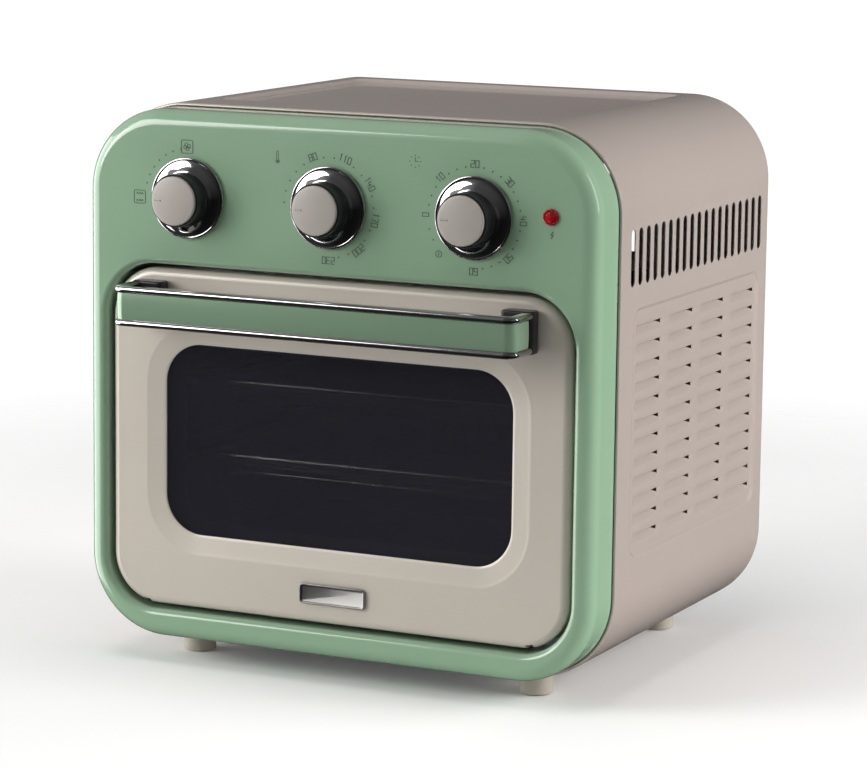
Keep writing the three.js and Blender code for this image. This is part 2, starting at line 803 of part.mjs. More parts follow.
// A shallow dish against the panel, steeper towards the grip.
function knobSkirt([x, z]) {
  const bore = shaftRadius + clearance;
  const [low, foot] = [2, gripRadius + 1];
  const hollow = [1, 2, 3, 4].map((i) => {
    const share = i / 4;
    const radius = knobRadius - 0.6 - share * (knobRadius - 0.6 - foot);
    return [radius, low + (knobDishHeight - low) * share ** 1.6];
  });
  const profile = [
    [bore, 0], [knobRadius - 1, 0], [knobRadius, 1], [knobRadius - 0.6, low], ...hollow,
    [bore, knobDishHeight], [bore, 0],
  ];
  return turnedForward(profile, [x, knobBase, z], 20);
}

// The part held by the fingers: it takes the shaft from behind and the cap in front.
function knobGrip([x, z]) {
  const bore = shaftRadius + clearance;
  const pocket = capRadius + clearance;
  const base = knobDishHeight + clearance;
  const boreEnd = shaftReach + clearance;
  const outer = gripRadius - 0.1;
  const profile = [
    [0, boreEnd], [bore, boreEnd], [bore, base], [gripRadius, base], [outer, gripTop - 0.5],
    [outer - 0.4, gripTop], [pocket, gripTop], [pocket, capPocketFloor], [0, capPocketFloor],
  ];
  return turnedForward(profile, [x, knobBase, z], 20);
}

function knobCap([x, z]) {
  const profile = [
    [0, capBase], [capRadius, capBase], [capRadius, capBase + 2.4], [capRadius - 0.8, capBase + 3.2],
    [capRadius * 0.6, capBase + 3.9], [0, capBase + 4.2],
  ];
  return turnedForward(profile, [x, knobBase, z], 20);
}

const switchFront = plateBack + clearance;
const shaftBack = switchFront + 6;

function knobShaft([x, z]) {
  return rodY(shaftRadius, knobBase - shaftReach, shaftBack, x, z);
}

function switchBody([x, z], half, depth) {
  const body = block([x - half, switchFront, z - half], [x + half, switchFront + depth, z + half]);
  const bush = rodY(bushRadius, plateFront - 5, switchFront + 1, x, z);
  const bore = rodY(shaftRadius + clearance, plateFront - 6, shaftBack + clearance, x, z);
  return body.add(bush).subtract(bore);
}

function lampLens() {
  const stem = lampHole - clearance;
  const back = bezelWall + 2;
  const profile = [
    [0, -back], [stem, -back], [stem, clearance], [lampRadius, clearance], [lampRadius, 1.4],
    [lampRadius * 0.75, 2.6], [0, 3.1],
  ];
  return turnedForward(profile, [lampX, bezelFront, lampZ], 12);
}

function lampHolder() {
  const front = bezelFront + bezelWall + clearance;
  const inner = lampHole + clearance;
  const outer = inner + 1.6;
  const depth = 14;
  const profile = [
    [0, -depth], [outer, -depth], [outer, 0], [inner, 0], [inner, -4], [0, -4],
  ];
  return turnedForward(profile, [lampX, front, lampZ], 12);
}

// ---------------------------------------------------------------- assembly
const oven = new THREE.Group();

function add(name, body, material) {
  const mesh = new THREE.Mesh(geometryOf(body), material());
  mesh.name = name;
  oven.add(mesh);
}

const sides = { left: -1, right: 1 };

add('outer_casing', outerCasing(), beigePaint);
add('base_plate', basePlate(), zincSheet);
add('rear_panel', rearPanel(), zincSheet);
screwPlaces.forEach((place, i) => add(`rear_screw_${i + 1}`, rearScrew(place), zincSheet));
add('cord_gland', cordGland(), blackPlastic);
const footX = halfWidth - casingCorner - 3.5;
const footRows = { front: footInset, rear: casingDepth - 33 };
Object.entries(footRows).forEach(([row, y]) => Object.entries(sides).forEach(([side, sign]) =>
  add(`foot_${row}_${side}`, foot(sign * footX, y), creamPlastic)));

add('front_bezel', frontBezel(), greenGloss);
add('chassis_front', chassisFront(), zincSheet);
add('door_gasket', doorGasket(), silicone);

add('cavity_liner', cavityLiner(), cavitySteel);
Object.entries(sides).forEach(([side, sign]) =>
  add(`rack_rail_${side}`, rackRail(sign), cavitySteel));
Object.entries(rackHeights).forEach(([name, rim]) => add(`${name}_rack`, rack(rim), rackWire));
add('drip_tray', dripTray(), cavitySteel);

add('fan_housing', fanHousing(), zincSheet);
add('heater_coil', heaterCoil(), heaterSteel);
add('fan_guard', fanGuard(), rackWire);
add('hot_air_fan', fanWheel(coilZ + 6, housingTop - 5, hotFanRadius), zincSheet);
add('cooling_fan', fanWheel(housingTop + 4, bridgeZ - 4, hotFanRadius), zincSheet);
add('fan_shaft', rodZ(fanShaftRadius, coilZ + 4, motorBase + 10, 0, fanY), zincSheet);
add('fan_motor', fanMotor(), zincSheet);
add('motor_bracket', motorBracket(), zincSheet);
add('thermal_cutout', thermalCutout(), blackPlastic);

add('door_frame', doorFrame(), beigePaint);
add('door_glass', doorGlass(), tintedGlass);
add('door_inner_glass', doorInnerGlass(), clearGlass);
add('door_inner_panel', doorInnerPanel(), cavitySteel);
add('badge_plate', badgePlate(), chrome);
add('handle_bar', handleBar(), chrome);
add('handle_inlay', handleInlay(), greenGloss);
Object.entries(sides).forEach(([side, sign]) => {
  add(`handle_mount_${side}`, handleMount(sign), blackPlastic);
  add(`hinge_pin_${side}`, hingePin(sign), zincSheet);
  add(`hinge_bracket_${side}`, hingeBracket(sign), zincSheet);
});

const controls = { function: [16, 22], thermostat: [17, 26], timer: [19, 30] };
Object.entries(controls).forEach(([name, [half, depth]], i) => {
  add(`${name}_knob_skirt`, knobSkirt(knobPlaces[i]), chrome);
  add(`${name}_knob_grip`, knobGrip(knobPlaces[i]), blackPlastic);
  add(`${name}_knob_cap`, knobCap(knobPlaces[i]), creamPlastic);
  add(`${name}_shaft`, knobShaft(knobPlaces[i]), zincSheet);
  add(`${name}_switch`, switchBody(knobPlaces[i], half, depth), switchPlastic);
});
add('lamp_lens', lampLens(), redLens);
add('lamp_holder', lampHolder(), switchPlastic);

oven.position.y = -(handleFront + casingDepth + glandProud) / 2;

export default oven;
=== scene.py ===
import math

import bmesh
import bpy
from mathutils import Matrix, Vector


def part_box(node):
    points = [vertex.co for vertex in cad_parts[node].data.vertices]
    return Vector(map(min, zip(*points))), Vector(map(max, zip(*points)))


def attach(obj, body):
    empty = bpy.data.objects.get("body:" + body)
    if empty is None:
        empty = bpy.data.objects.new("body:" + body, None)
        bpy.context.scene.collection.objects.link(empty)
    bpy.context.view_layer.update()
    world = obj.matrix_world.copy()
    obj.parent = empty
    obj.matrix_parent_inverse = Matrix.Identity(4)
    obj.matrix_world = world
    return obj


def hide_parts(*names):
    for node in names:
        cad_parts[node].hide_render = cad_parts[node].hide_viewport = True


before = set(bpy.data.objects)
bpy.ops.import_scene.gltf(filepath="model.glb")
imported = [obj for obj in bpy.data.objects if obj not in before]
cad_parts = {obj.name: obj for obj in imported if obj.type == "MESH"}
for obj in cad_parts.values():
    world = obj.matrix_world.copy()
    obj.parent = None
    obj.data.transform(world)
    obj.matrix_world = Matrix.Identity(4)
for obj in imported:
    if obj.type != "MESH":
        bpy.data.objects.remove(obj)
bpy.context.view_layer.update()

MM = 0.001


def box(node):
    """Lowest and highest corner of a CAD node, in millimetres."""
    low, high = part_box(node)
    return low / MM, high / MM


def middle_of(node):
    low, high = box(node)
    return (low + high) / 2


def radius_of(node):
    low, high = box(node)
    return (high.x - low.x) / 2


def placed(name, data):
    """A new object in the scene."""
    thing = bpy.data.objects.new(name, data)
    bpy.context.scene.collection.objects.link(thing)
    return thing


# ---------------------------------------------------------------- camera and studio
CAMERA_PLACE = (0.9448, -1.9458, 0.52688)
CAMERA_YAW = math.radians(25.71)
CAMERA_PITCH = math.radians(9.48)
CAMERA_ROLL = math.radians(0.7)
CAMERA_LENS = 146.86
SENSOR_WIDTH = 36.0


def make_camera():
    data = bpy.data.cameras.new("camera")
    data.lens = CAMERA_LENS
    data.sensor_width = SENSOR_WIDTH
    data.clip_start = 0.05
    data.clip_end = 50
    camera = placed("camera", data)
    turn = (
        Matrix.Rotation(CAMERA_YAW, 3, "Z")
        @ Matrix.Rotation(math.pi / 2 - CAMERA_PITCH, 3, "X")
        @ Matrix.Rotation(CAMERA_ROLL, 3, "Z")
    )
    camera.matrix_world = Matrix.Translation(CAMERA_PLACE) @ turn.to_4x4()
    bpy.context.scene.camera = camera


def area_light(name, place, target, size, power, colour=(1, 1, 1)):
    data = bpy.data.lights.new(name, "AREA")
    data.shape = "RECTANGLE"
    data.size, data.size_y = size
    data.energy = power
    data.color = colour
    light = placed(name, data)
    light.location = place
    aim = Vector(target) - Vector(place)
    light.rotation_euler = aim.to_track_quat("-Z", "Y").to_euler()
    return light


ROOM_GLOW = 0.4
WHITE_GLOW = 1.05
# Brightness of the room by the X and by the Z of a direction.
ROOM_BY_SIDE = [(-1, 1), (-0.6, 0.8), (-0.3, 0.2), (0.5, 0.12), (1, 0.5)]
ROOM_BY_HEIGHT = [(-1, 0.1), (-0.1, 0.12), (0.05, 0.4), (0.5, 1), (1, 1)]


def direction_ramp(nodes, links, socket, stops):
    """Brightness by the height (or side) that a direction has, from -1 to 1."""
    share = nodes.new("ShaderNodeMapRange")
    share.inputs["From Min"].default_value = -1
    share.inputs["From Max"].default_value = 1
    links.new(socket, share.inputs["Value"])
    ramp = nodes.new("ShaderNodeValToRGB")
    marks = ramp.color_ramp.elements
    while len(marks) < len(stops):
        marks.new(0.5)
    for mark, (place, value) in zip(marks, stops):
        mark.position = (place + 1) / 2
        mark.color = (value, value, value, 1)
    links.new(share.outputs["Result"], ramp.inputs["Fac"])
    return ramp.outputs["Color"]


def make_world():
    """White to the camera. To the oven: a soft room, bright at the left, dark in front."""
    world = bpy.data.worlds.new("studio")
    bpy.context.scene.world = world
    world.use_nodes = True
    nodes, links = world.node_tree.nodes, world.node_tree.links
    nodes.clear()
    place = nodes.new("ShaderNodeTexCoord")
    split = nodes.new("ShaderNodeSeparateXYZ")
    links.new(place.outputs["Generated"], split.inputs[0])
    side = direction_ramp(nodes, links, split.outputs["X"], ROOM_BY_SIDE)
    height = direction_ramp(nodes, links, split.outputs["Z"], ROOM_BY_HEIGHT)
    room = nodes.new("ShaderNodeMix")
    room.data_type = "RGBA"
    room.blend_type = "MULTIPLY"
    room.inputs["Factor"].default_value = 1
    links.new(side, room.inputs["A"])
    links.new(height, room.inputs["B"])
    soft = nodes.new("ShaderNodeBackground")
    links.new(room.outputs["Result"], soft.inputs["Color"])
    soft.inputs["Strength"].default_value = ROOM_GLOW
    white = nodes.new("ShaderNodeBackground")
    white.inputs["Color"].default_value = (1, 1, 1, 1)
    white.inputs["Strength"].default_value = WHITE_GLOW
    rays = nodes.new("ShaderNodeLightPath")
    choose = nodes.new("ShaderNodeMixShader")
    links.new(rays.outputs["Is Camera Ray"], choose.inputs["Fac"])
    links.new(soft.outputs[0], choose.inputs[1])
    links.new(white.outputs[0], choose.inputs[2])
    out = nodes.new("ShaderNodeOutputWorld")
    links.new(choose.outputs[0], out.inputs["Surface"])


def make_lights():
    aim = (0, 0, 0.17)
    key = area_light("key", (-1.5, -1.55, 1.0), aim, (1.1, 1.5), 21, (1.0, 0.985, 0.96))
    key.data.spread = math.radians(150)
    area_light("left_panel", (-1.5, -0.42, 0.12), (0, 0, 0.12), (1.8, 1.4), 24)
    side = area_light("right_panel", (1.7, 0.5, 0.5), aim, (1.6, 1.3), 43, (1.0, 0.985, 0.975))
    top = area_light("top", (-0.1, -0.3, 2.2), aim, (1.4, 1.4), 17)
    area_light("right_strip", (1.3, 0.15, 0.75), aim, (0.12, 0.9), 1.6)
    for light in (side, top):
        light.visible_glossy = False


# ---------------------------------------------------------------- material tools
class Finish:
    """A Principled material and the few node patterns that the oven's finishes share."""

    def __init__(self, name, **values):
        self.material = bpy.data.materials.new(name)
        self.material.use_nodes = True
        self.tree = self.material.node_tree
        self.tree.nodes.clear()
        self.surface = self.node("BsdfPrincipled")
        out = self.node("OutputMaterial")
        self.link(self.surface.outputs[0], out.inputs["Surface"])
        self.place = self.node("TexCoord").outputs["Object"]
        self.set(**values)

    def node(self, kind):
        return self.tree.nodes.new("ShaderNode" + kind)

    def link(self, source, target):
        self.tree.links.new(source, target)

    def set(self, **values):
        for name, value in values.items():
            socket = self.surface.inputs[name.replace("_", " ")]
            is_colour = socket.type == "RGBA"
            socket.default_value = (*value, 1) if is_colour else value
        return self

    def stretched(self, scale):
        node = self.node("Mapping")
        node.inputs["Scale"].default_value = scale
        self.link(self.place, node.inputs["Vector"])
        return node.outputs["Vector"]

    def noise(self, per_metre, detail=3, rough=0.5, scale=None):
        node = self.node("TexNoise")
        node.inputs["Scale"].default_value = per_metre
        node.inputs["Detail"].default_value = detail
        node.inputs["Roughness"].default_value = rough
        self.link(self.stretched(scale) if scale else self.place, node.inputs["Vector"])
        return node.outputs["Fac"]

    def cells(self, per_metre, output="Color", feature="F1"):
        node = self.node("TexVoronoi")
        node.feature = feature
        node.inputs["Scale"].default_value = per_metre
        self.link(self.place, node.inputs["Vector"])
        return node.outputs[output]

    def ramp(self, source, low, high, start=0.3, end=0.7):
        node = self.node("ValToRGB")
        first, last = node.color_ramp.elements
        first.position, last.position = start, end
        first.color, last.color = (*low, 1), (*high, 1)
        self.link(source, node.inputs["Fac"])
        return node.outputs["Color"]

    def colour(self, source, low, high, start=0.3, end=0.7):
        self.link(self.ramp(source, low, high, start, end), self.surface.inputs["Base Color"])
        return self

    def roughness(self, source, low, high):
        node = self.node("MapRange")
        node.inputs["To Min"].default_value = low
        node.inputs["To Max"].default_value = high
        self.link(source, node.inputs["Value"])
        self.link(node.outputs["Result"], self.surface.inputs["Roughness"])
        return self

    def bump(self, source, depth, strength=0.5):
        node = self.node("Bump")
        node.inputs["Distance"].default_value = depth * MM
        node.inputs["Strength"].default_value = strength
        self.link(source, node.inputs["Height"])
        self.link(node.outputs["Normal"], self.surface.inputs["Normal"])
        return self


def shade(colour, factor):
    return tuple(channel * factor for channel in colour)


def painted(name, colour, rough, coat, pearl=0.0, variation=0.02, peel=0.006):
    """Sprayed enamel: a faint cloudiness, orange peel under a clear coat, a share of pearl."""
    finish = Finish(name, Coat_Weight=coat, Coat_Roughness=0.04, Specular_IOR_Level=0.5)
    finish.set(Metallic=pearl)
    finish.colour(finish.noise(9, 4), shade(colour, 1 - variation), shade(colour, 1 + variation))
    finish.roughness(finish.noise(240, 3), rough - 0.02, rough + 0.02)
    finish.bump(finish.noise(420, 2), peel, 0.25)
    return finish


def polished(name, colour, rough, smear=0.04):
    """Bright metal with the faint smears and hairlines of handling."""
    finish = Finish(name, Metallic=1.0)
    finish.colour(finish.noise(60, 3), shade(colour, 0.97), colour)
    finish.roughness(finish.noise(150, 5, 0.6), rough, rough + smear)
    finish.bump(finish.noise(900, 3), 0.004, 0.2)
    return finish


def moulded(name, colour, rough, grain=1400, depth=0.02, variation=0.04):
    """Injection-moulded plastic with a fine spark-eroded grain."""
    finish = Finish(name, Specular_IOR_Level=0.5)
    finish.colour(finish.noise(35, 3), shade(colour, 1 - variation), shade(colour, 1 + variation))
    finish.roughness(finish.noise(grain / 2, 2), rough - 0.04, rough + 0.06)
    finish.bump(finish.noise(grain, 2), depth, 0.4)
    return finish


def galvanised(name, colour):
    """Zinc-coated sheet: spangles a few millimetres across, dull and bright."""
    finish = Finish(name, Metallic=1.0)
    spangle = finish.cells(160)
    grey = finish.node("RGBToBW")
    finish.link(spangle, grey.inputs[0])
    finish.colour(grey.outputs[0], shade(colour, 0.82), shade(colour, 1.08), 0.1, 0.9)
    finish.roughness(grey.outputs[0], 0.34, 0.5)
    finish.bump(finish.noise(500, 3), 0.01, 0.3)
    return finish


def rolled_steel(name, colour, rough, grain):
    """Sheet steel with rolling lines drawn out along one axis."""
    finish = Finish(name, Metallic=1.0)
    lines = finish.noise(1, 4, 0.6, grain)
    finish.colour(lines, shade(colour, 0.9), shade(colour, 1.06))
    finish.roughness(lines, rough - 0.05, rough + 0.1)
    finish.bump(lines, 0.012, 0.3)
    return finish


def pane(name, colour, alpha, rough=0.02):
    """Flat oven glass: the tint lets a share of what is behind through."""
    finish = Finish(name, Roughness=rough, IOR=1.5, Specular_IOR_Level=0.6, Alpha=alpha)
    finish.colour(finish.noise(5, 2), shade(colour, 0.9), shade(colour, 1.1))
    finish.bump(finish.noise(14, 1), 0.01, 0.1)
    return finish


BEIGE = (0.475, 0.412, 0.378)
DOOR_BEIGE = (0.56, 0.515, 0.455)
GREEN = (0.262, 0.402, 0.274)
INK = (0.055, 0.09, 0.065)
INK_GRAIN = (3000, 0.004)
ALONG_Y = (300, 8, 300)
ALONG_X = (8, 300, 300)


def make_materials():
    """Every finish, by the key that its pieces are made with."""
    made = {
        "casing_paint": painted("casing_enamel", BEIGE, 0.26, 0.35, pearl=0.2),
        "door_paint": painted("door_enamel", DOOR_BEIGE, 0.3, 0.35, pearl=0.1),
        "bezel_green": painted("green_gloss", GREEN, 0.16, 0.7, peel=0.004),
        "handle_green": painted("handle_green", shade(GREEN, 0.95), 0.22, 0.6, pearl=0.4,
                                peel=0.004),
        "polished_chrome": polished("chrome", (0.62, 0.61, 0.62), 0.04),
        "badge_metal": polished("badge_metal", (0.42, 0.41, 0.4), 0.32, 0.12),
        "black_plastic": moulded("black_plastic", (0.012, 0.011, 0.014), 0.3),
        "cream_plastic": moulded("cream_plastic", (0.385, 0.355, 0.325), 0.32, 2200, 0.008),
        "foot_rubber": moulded("foot_rubber", (0.44, 0.40, 0.34), 0.5, depth=0.04),
        "silicone": moulded("silicone", (0.03, 0.03, 0.032), 0.6, 700, 0.05),
        "switch_plastic": moulded("switch_plastic", (0.3, 0.28, 0.25), 0.55),
        "ink": moulded("dial_ink", INK, 0.45, *INK_GRAIN),
        "pointer": moulded("pointer_ink", (0.2, 0.07, 0.07), 0.4, *INK_GRAIN),
        "pointer_line": moulded("pointer_line_ink", (0.2, 0.18, 0.165), 0.4, *INK_GRAIN),
        "zinc_sheet": galvanised("zinc_sheet", (0.6, 0.61, 0.62)),
        "cavity_steel": rolled_steel("cavity_steel", (0.16, 0.16, 0.17), 0.36, ALONG_Y),
        "liner": rolled_steel("door_liner_steel", (0.3, 0.3, 0.31), 0.32, ALONG_X),
        "rack_wire": polished("rack_wire", (0.6, 0.59, 0.57), 0.18, 0.1),
        "heater_steel": rolled_steel("heater_steel", (0.22, 0.2, 0.185), 0.45, ALONG_X),
        "tinted_glass": pane("tinted_glass", (0.026, 0.025, 0.034), 0.5),
        "clear_glass": pane("clear_glass", (0.05, 0.055, 0.055), 0.1),
        "red_lens": Finish("red_lens", Roughness=0.06, Coat_Weight=0.8, Coat_Roughness=0.02),
    }
    badge_metal, heater, lens = (made[key] for key in ("badge_metal", "heater_steel", "red_lens"))
    badge_metal.bump(badge_metal.noise(1500, 2), 0.12, 0.8)
    heater.bump(heater.noise(900, 4), 0.05, 0.5)
    lens.set(Subsurface_Weight=0.4, Subsurface_Radius=(0.9, 0.1, 0.08), Subsurface_Scale=0.002)
    lens.colour(lens.noise(500, 3), (0.2, 0.004, 0.01), (0.45, 0.012, 0.02))
    lens.bump(lens.noise(700, 2), 0.05, 0.3)
    return {key: finish.material for key, finish in made.items()}


FINISHES = make_materials()


# ---------------------------------------------------------------- mesh tools
CORNER_STEPS = 20
ROUND_STEPS = 8
SHARP_ANGLE = 32


def arc(centre, radius, start, end, steps):
    """Points on a circle, or on an ellipse if radius is a pair. Angles are in degrees."""
    wide, tall = radius if isinstance(radius, tuple) else (radius, radius)
    turns = [math.radians(start + (end - start) * i / steps) for i in range(steps + 1)]
    return [(centre[0] + wide * math.cos(t), centre[1] + tall * math.sin(t)) for t in turns]


def round_rect(half, low, high, radius, steps=CORNER_STEPS):
    """An outline symmetric in X, anticlockwise from the lower right corner."""
    right, left = half - radius, radius - half
    top, bottom = high - radius, low + radius
    return (
        arc((right, bottom), radius, -90, 0, steps) + arc((right, top), radius, 0, 90, steps)
        + arc((left, top), radius, 90, 180, steps) + arc((left, bottom), radius, 180, 270, steps)
    )


def ring(x0, x1, z0, z1, radius, steps=ROUND_STEPS):
    """The same outline between any two sides, with a point in the middle of its low and
    high side. It starts in the middle of the low side; ring_top() is the high one's place."""
    middle = (x0 + x1) / 2
    right = arc((x1 - radius, z0 + radius), radius, -90, 0, steps)
    right += arc((x1 - radius, z1 - radius), radius, 0, 90, steps)
    left = arc((x0 + radius, z1 - radius), radius, 90, 180, steps)
    left += arc((x0 + radius, z0 + radius), radius, 180, 270, steps)
    return [(middle, z0)] + right + [(middle, z1)] + left


def ring_top(outline):
    return len(outline) // 2


def quarter_round(width, depth, steps=ROUND_STEPS):
    """(inset, depth) pairs from the side of an edge round to its face."""
    turns = [math.pi / 2 * i / steps for i in range(steps + 1)]
    return [(width * (1 - math.cos(t)), depth * (1 - math.sin(t))) for t in turns]


def upright(outline, y):
    """An (x, z) outline at one depth."""
    return [(x, y, z) for x, z in outline]


def drawn_in(node, corner, steps=CORNER_STEPS):
    """A CAD node's front outline, as a function of how far it is drawn in."""
    low, high = box(node)
    return lambda inset: round_rect(high.x - inset, low.z + inset, high.z - inset,
                                    max(corner - inset, 0.3), steps)


def swept(outline, stations):
    """Upright loops of an outline function, from (inset, y) pairs."""
    return [upright(outline(inset), y) for inset, y in stations]


def behind(front, steps):
    """(inset, depth) pairs as (inset, y) pairs behind a front face."""
    return [(inset, front + depth) for inset, depth in steps]


def level(outline, z):
    """An (x, y) outline at one height."""
    return [(x, y, z) for x, y in outline]


class Skin:
    """Faces in millimetres. Corners at the same point are one vertex."""

    def __init__(self):
        self.points = []
        self.faces = []
        self.places = {}

    def corner(self, point):
        key = tuple(round(value, 4) + 0.0 for value in point)
        if key not in self.places:
            self.places[key] = len(self.points)
            self.points.append(key)
        return self.places[key]

    def face(self, points):
        corners = [self.corner(point) for point in points]
        kept = [c for i, c in enumerate(corners) if c != corners[i - 1]]
        if len(set(kept)) > 2:
            self.faces.append(kept)

    def loft(self, loops, closed=True, wrap=False):
        """Quads between each loop and the next, and back to the first with wrap."""
        following = loops[1:] + loops[:1] if wrap else loops[1:]
        for near, far in zip(loops, following):
            count = len(near)
            for i in range(count if closed else count - 1):
                j = (i + 1) % count
                self.face([near[i], near[j], far[j], far[i]])
        return self

    def solid(self, loops):
        """A loft with both of its ends closed."""
        self.loft(loops)
        self.face(loops[0])
        self.face(loops[-1])
        return self

    def collar(self, outer, inner):
        """Two faces that fill the room between two outlines, each with a middle point in its
        low and high side, as ring() has."""
        top, inner_top = ring_top(outer), ring_top(inner)
        self.face(outer[: top + 1] + inner[inner_top::-1])
        self.face(outer[top:] + outer[:1] + inner[:1] + inner[:inner_top - 1:-1])
        return self

    def lathe(self, profile, place, segments=72, axis="front", start=0):
        """Turns (radius, height) pairs about a line that points to the front, back or up."""
        x, y, z = place
        loops = []
        for radius, height in profile:
            loop = []
            for i in range(segments):
                turn = math.tau * i / segments + start
                across, up = radius * math.cos(turn), radius * math.sin(turn)
                if axis == "up":
                    loop.append((x + across, y + up, z + height))
                else:
                    loop.append((x + across, y + (height if axis == "back" else -height), z + up))
            loops.append(loop)
        self.loft(loops)
        for radius, loop in ((profile[0][0], loops[0]), (profile[-1][0], loops[-1])):
            if radius > 0 and profile[0] != profile[-1]:
                self.face(loop)
        return self


def mitres(points, closed):
    """At each point of a path: the direction along it and the stretch of its mitre."""
    path = [Vector(point) for point in points]
    count = len(path)
    found = []
    for i, here in enumerate(path):
        before = (here - path[i - 1]).normalized() if closed or i > 0 else None
        after = (path[(i + 1) % count] - here).normalized() if closed or i < count - 1 else None
        before, after = before or after, after or before
        along = (before + after).normalized()
        found.append((here, along, 1 / max(along.dot(after), 0.35)))
    return found


def tube(skin, points, radius, normal, closed=False, sides=8):
    """A round rod along a flat path; normal stands on the path's plane."""
    up = Vector(normal)
    rim = arc((0, 0), radius, 0, 360, sides)[:-1]
    loops = []
    for here, along, stretch in mitres(points, closed):
        across = up.cross(along) * stretch
        loops.append([tuple(here + across * c + up * s) for c, s in rim])
    if closed:
        return skin.loft(loops, wrap=True)
    return skin.solid(loops)


def ribbon(skin, points, width, base, thick, closed=False):
    """A flat printed line on a face that looks to the front. Points are (x, z)."""
    loops = []
    for here, along, stretch in mitres([(x, 0, z) for x, z in points], closed):
        across = Vector((-along.z, 0, along.x)) * stretch * width / 2
        left, right = here + across, here - across
        loops.append([(left.x, base, left.z), (left.x, base - thick, left.z),
                      (right.x, base - thick, right.z), (right.x, base, right.z)])
    if closed:
        return skin.loft(loops, wrap=True)
    return skin.solid(loops)


def spot(skin, x, z, radius, base, thick, segments=16):
    """A printed dot, or a ring of ink filled in."""
    return skin.lathe([(0, 0), (radius, 0), (radius, thick * 0.7), (radius * 0.8, thick),
                       (0, thick)], (x, base, z), segments)


def mesh_of(name, skin, outwards=True):
    """A skin's mesh in metres, with its faces turned outwards."""
    mesh = bpy.data.meshes.new(name)
    mesh.from_pydata([[value * MM for value in point] for point in skin.points], [], skin.faces)
    if outwards:
        shape = bmesh.new()
        shape.from_mesh(mesh)
        bmesh.ops.recalc_face_normals(shape, faces=shape.faces)
        shape.to_mesh(mesh)
        shape.free()
    return mesh


def piece(name, skin, key, replaces=(), body="oven_body", sharp=SHARP_ANGLE):
    """Makes an object from a skin, smooth but for edges sharper than sharp degrees."""
    mesh = mesh_of(name, skin)
    mesh.shade_smooth()
    mesh.set_sharp_from_angle(angle=math.radians(sharp))
    mesh.materials.append(FINISHES[key])
    thing = placed(name, mesh)
    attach(thing, body)
    if replaces:
        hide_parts(*replaces)
    return thing


def even_shading(thing):
    """Normals that follow the larger faces, so that flats stay flat beside a rounding."""
    modifier = thing.modifiers.new("even_shading", "WEIGHTED_NORMAL")
    modifier.keep_sharp = True
    modifier.weight = 100


def thickened(thing, thickness):
    modifier = thing.modifiers.new("wall", "SOLIDIFY")
    modifier.thickness = thickness * MM
    modifier.offset = -1
    modifier.use_even_offset = True


def cut(thing, cutters):
    """Takes the solids of another skin out of a piece, and keeps the result as its mesh."""
    tool = placed("cutter", mesh_of("cutter", cutters))
    modifier = thing.modifiers.new("cut", "BOOLEAN")
    modifier.object = tool
    modifier.operation = "DIFFERENCE"
    modifier.solver = "EXACT"
    bpy.context.view_layer.update()
    seen = thing.evaluated_get(bpy.context.evaluated_depsgraph_get())
    done = bpy.data.meshes.new_from_object(seen)
    thing.modifiers.remove(modifier)
    thing.data = done
    done.name = thing.name
    bpy.data.objects.remove(tool)


def brick(skin, low, high):
    (x0, y0, z0), (x1, y1, z1) = low, high
    base = [(x0, y0), (x1, y0), (x1, y1), (x0, y1)]
    return skin.solid([level(base, z0), level(base, z1)])


def soft_brick(skin, low, high, radius, edge):
    """A block with upright corners of one radius and all its rims rounded by edge."""
    (x0, y0, z0), (x1, y1, z1) = low, high
    rounding = quarter_round(edge, edge, 4)
    stations = [(inset, z0 + depth) for inset, depth in reversed(rounding)]
    stations += [(inset, z1 - depth) for inset, depth in rounding]
    return skin.solid([
        level(ring(x0 + inset, x1 - inset, y0 + inset, y1 - inset, radius - inset * 0.9, 4), z)
        for inset, z in stations
    ])


# ---------------------------------------------------------------- casing
CASING_CORNER = 52
CASING_SHEET = 0.8
LIP = 1.2
UNDERSIDE_GAP = 90
VENT_COUNT = 19
VENT_PITCH = 11.4
VENT_WIDTH = 6
VENT_MIDDLE = 120.5
VENT_HIGH = 60.5
VENT_LENGTH = 33.5
PRESSED = {"front": 20, "back": 13, "low": 71, "high": 107, "corner": 10, "sink": 1.3}
LOUVRE_COLUMNS = 4
LOUVRE_ROWS = 12
LOUVRE_LENGTH = 37
LOUVRE_SPACING = 51
LOUVRE_PITCH = 11.3
LOUVRE_MARGIN = 1
LOUVRE_DROP = 11
LOUVRE_CUT = 5.6
LOUVRE_RAMP = 5
FLAP = [(0, 0), (0.5, 0.22), (1.1, 0.62), (4.7, 2.2)]
GUSSET = 3.0
TOP_RECESS = {"half": 115, "front": 34, "back": 12, "corner": 9, "sink": 2.5}


def vent_slots(skin, place, high):
    """A row of upright slots with rolled rims. Returns the row's low and high joints."""
    low, top = high - VENT_HIGH - VENT_LENGTH, high - VENT_HIGH
    row_low, row_high = low - 3, top + 3
    rim = [(0.6, 0), (0.3, 0.06), (0.08, 0.25), (0, 0.55), (0, 0.9)]
    joints = []
    for i in range(VENT_COUNT):
        middle = VENT_MIDDLE + (i - (VENT_COUNT - 1) / 2) * VENT_PITCH
        near, far = middle - VENT_PITCH / 2, middle + VENT_PITCH / 2
        cell = [(middle, row_low), (far, row_low), (far, row_high), (middle, row_high),
                (near, row_high), (near, row_low)]
        half = VENT_WIDTH / 2
        loops = [
            [place(y, z, sink) for y, z in
             ring(middle - half - grow, middle + half + grow, low - grow, top + grow,
                  half + grow, 6)]
            for grow, sink in rim
        ]
        skin.collar([place(y, z, 0) for y, z in cell], loops[0])
        skin.loft(loops)
        joints += [near, middle]
    joints.append(far)
    return row_low, row_high, joints


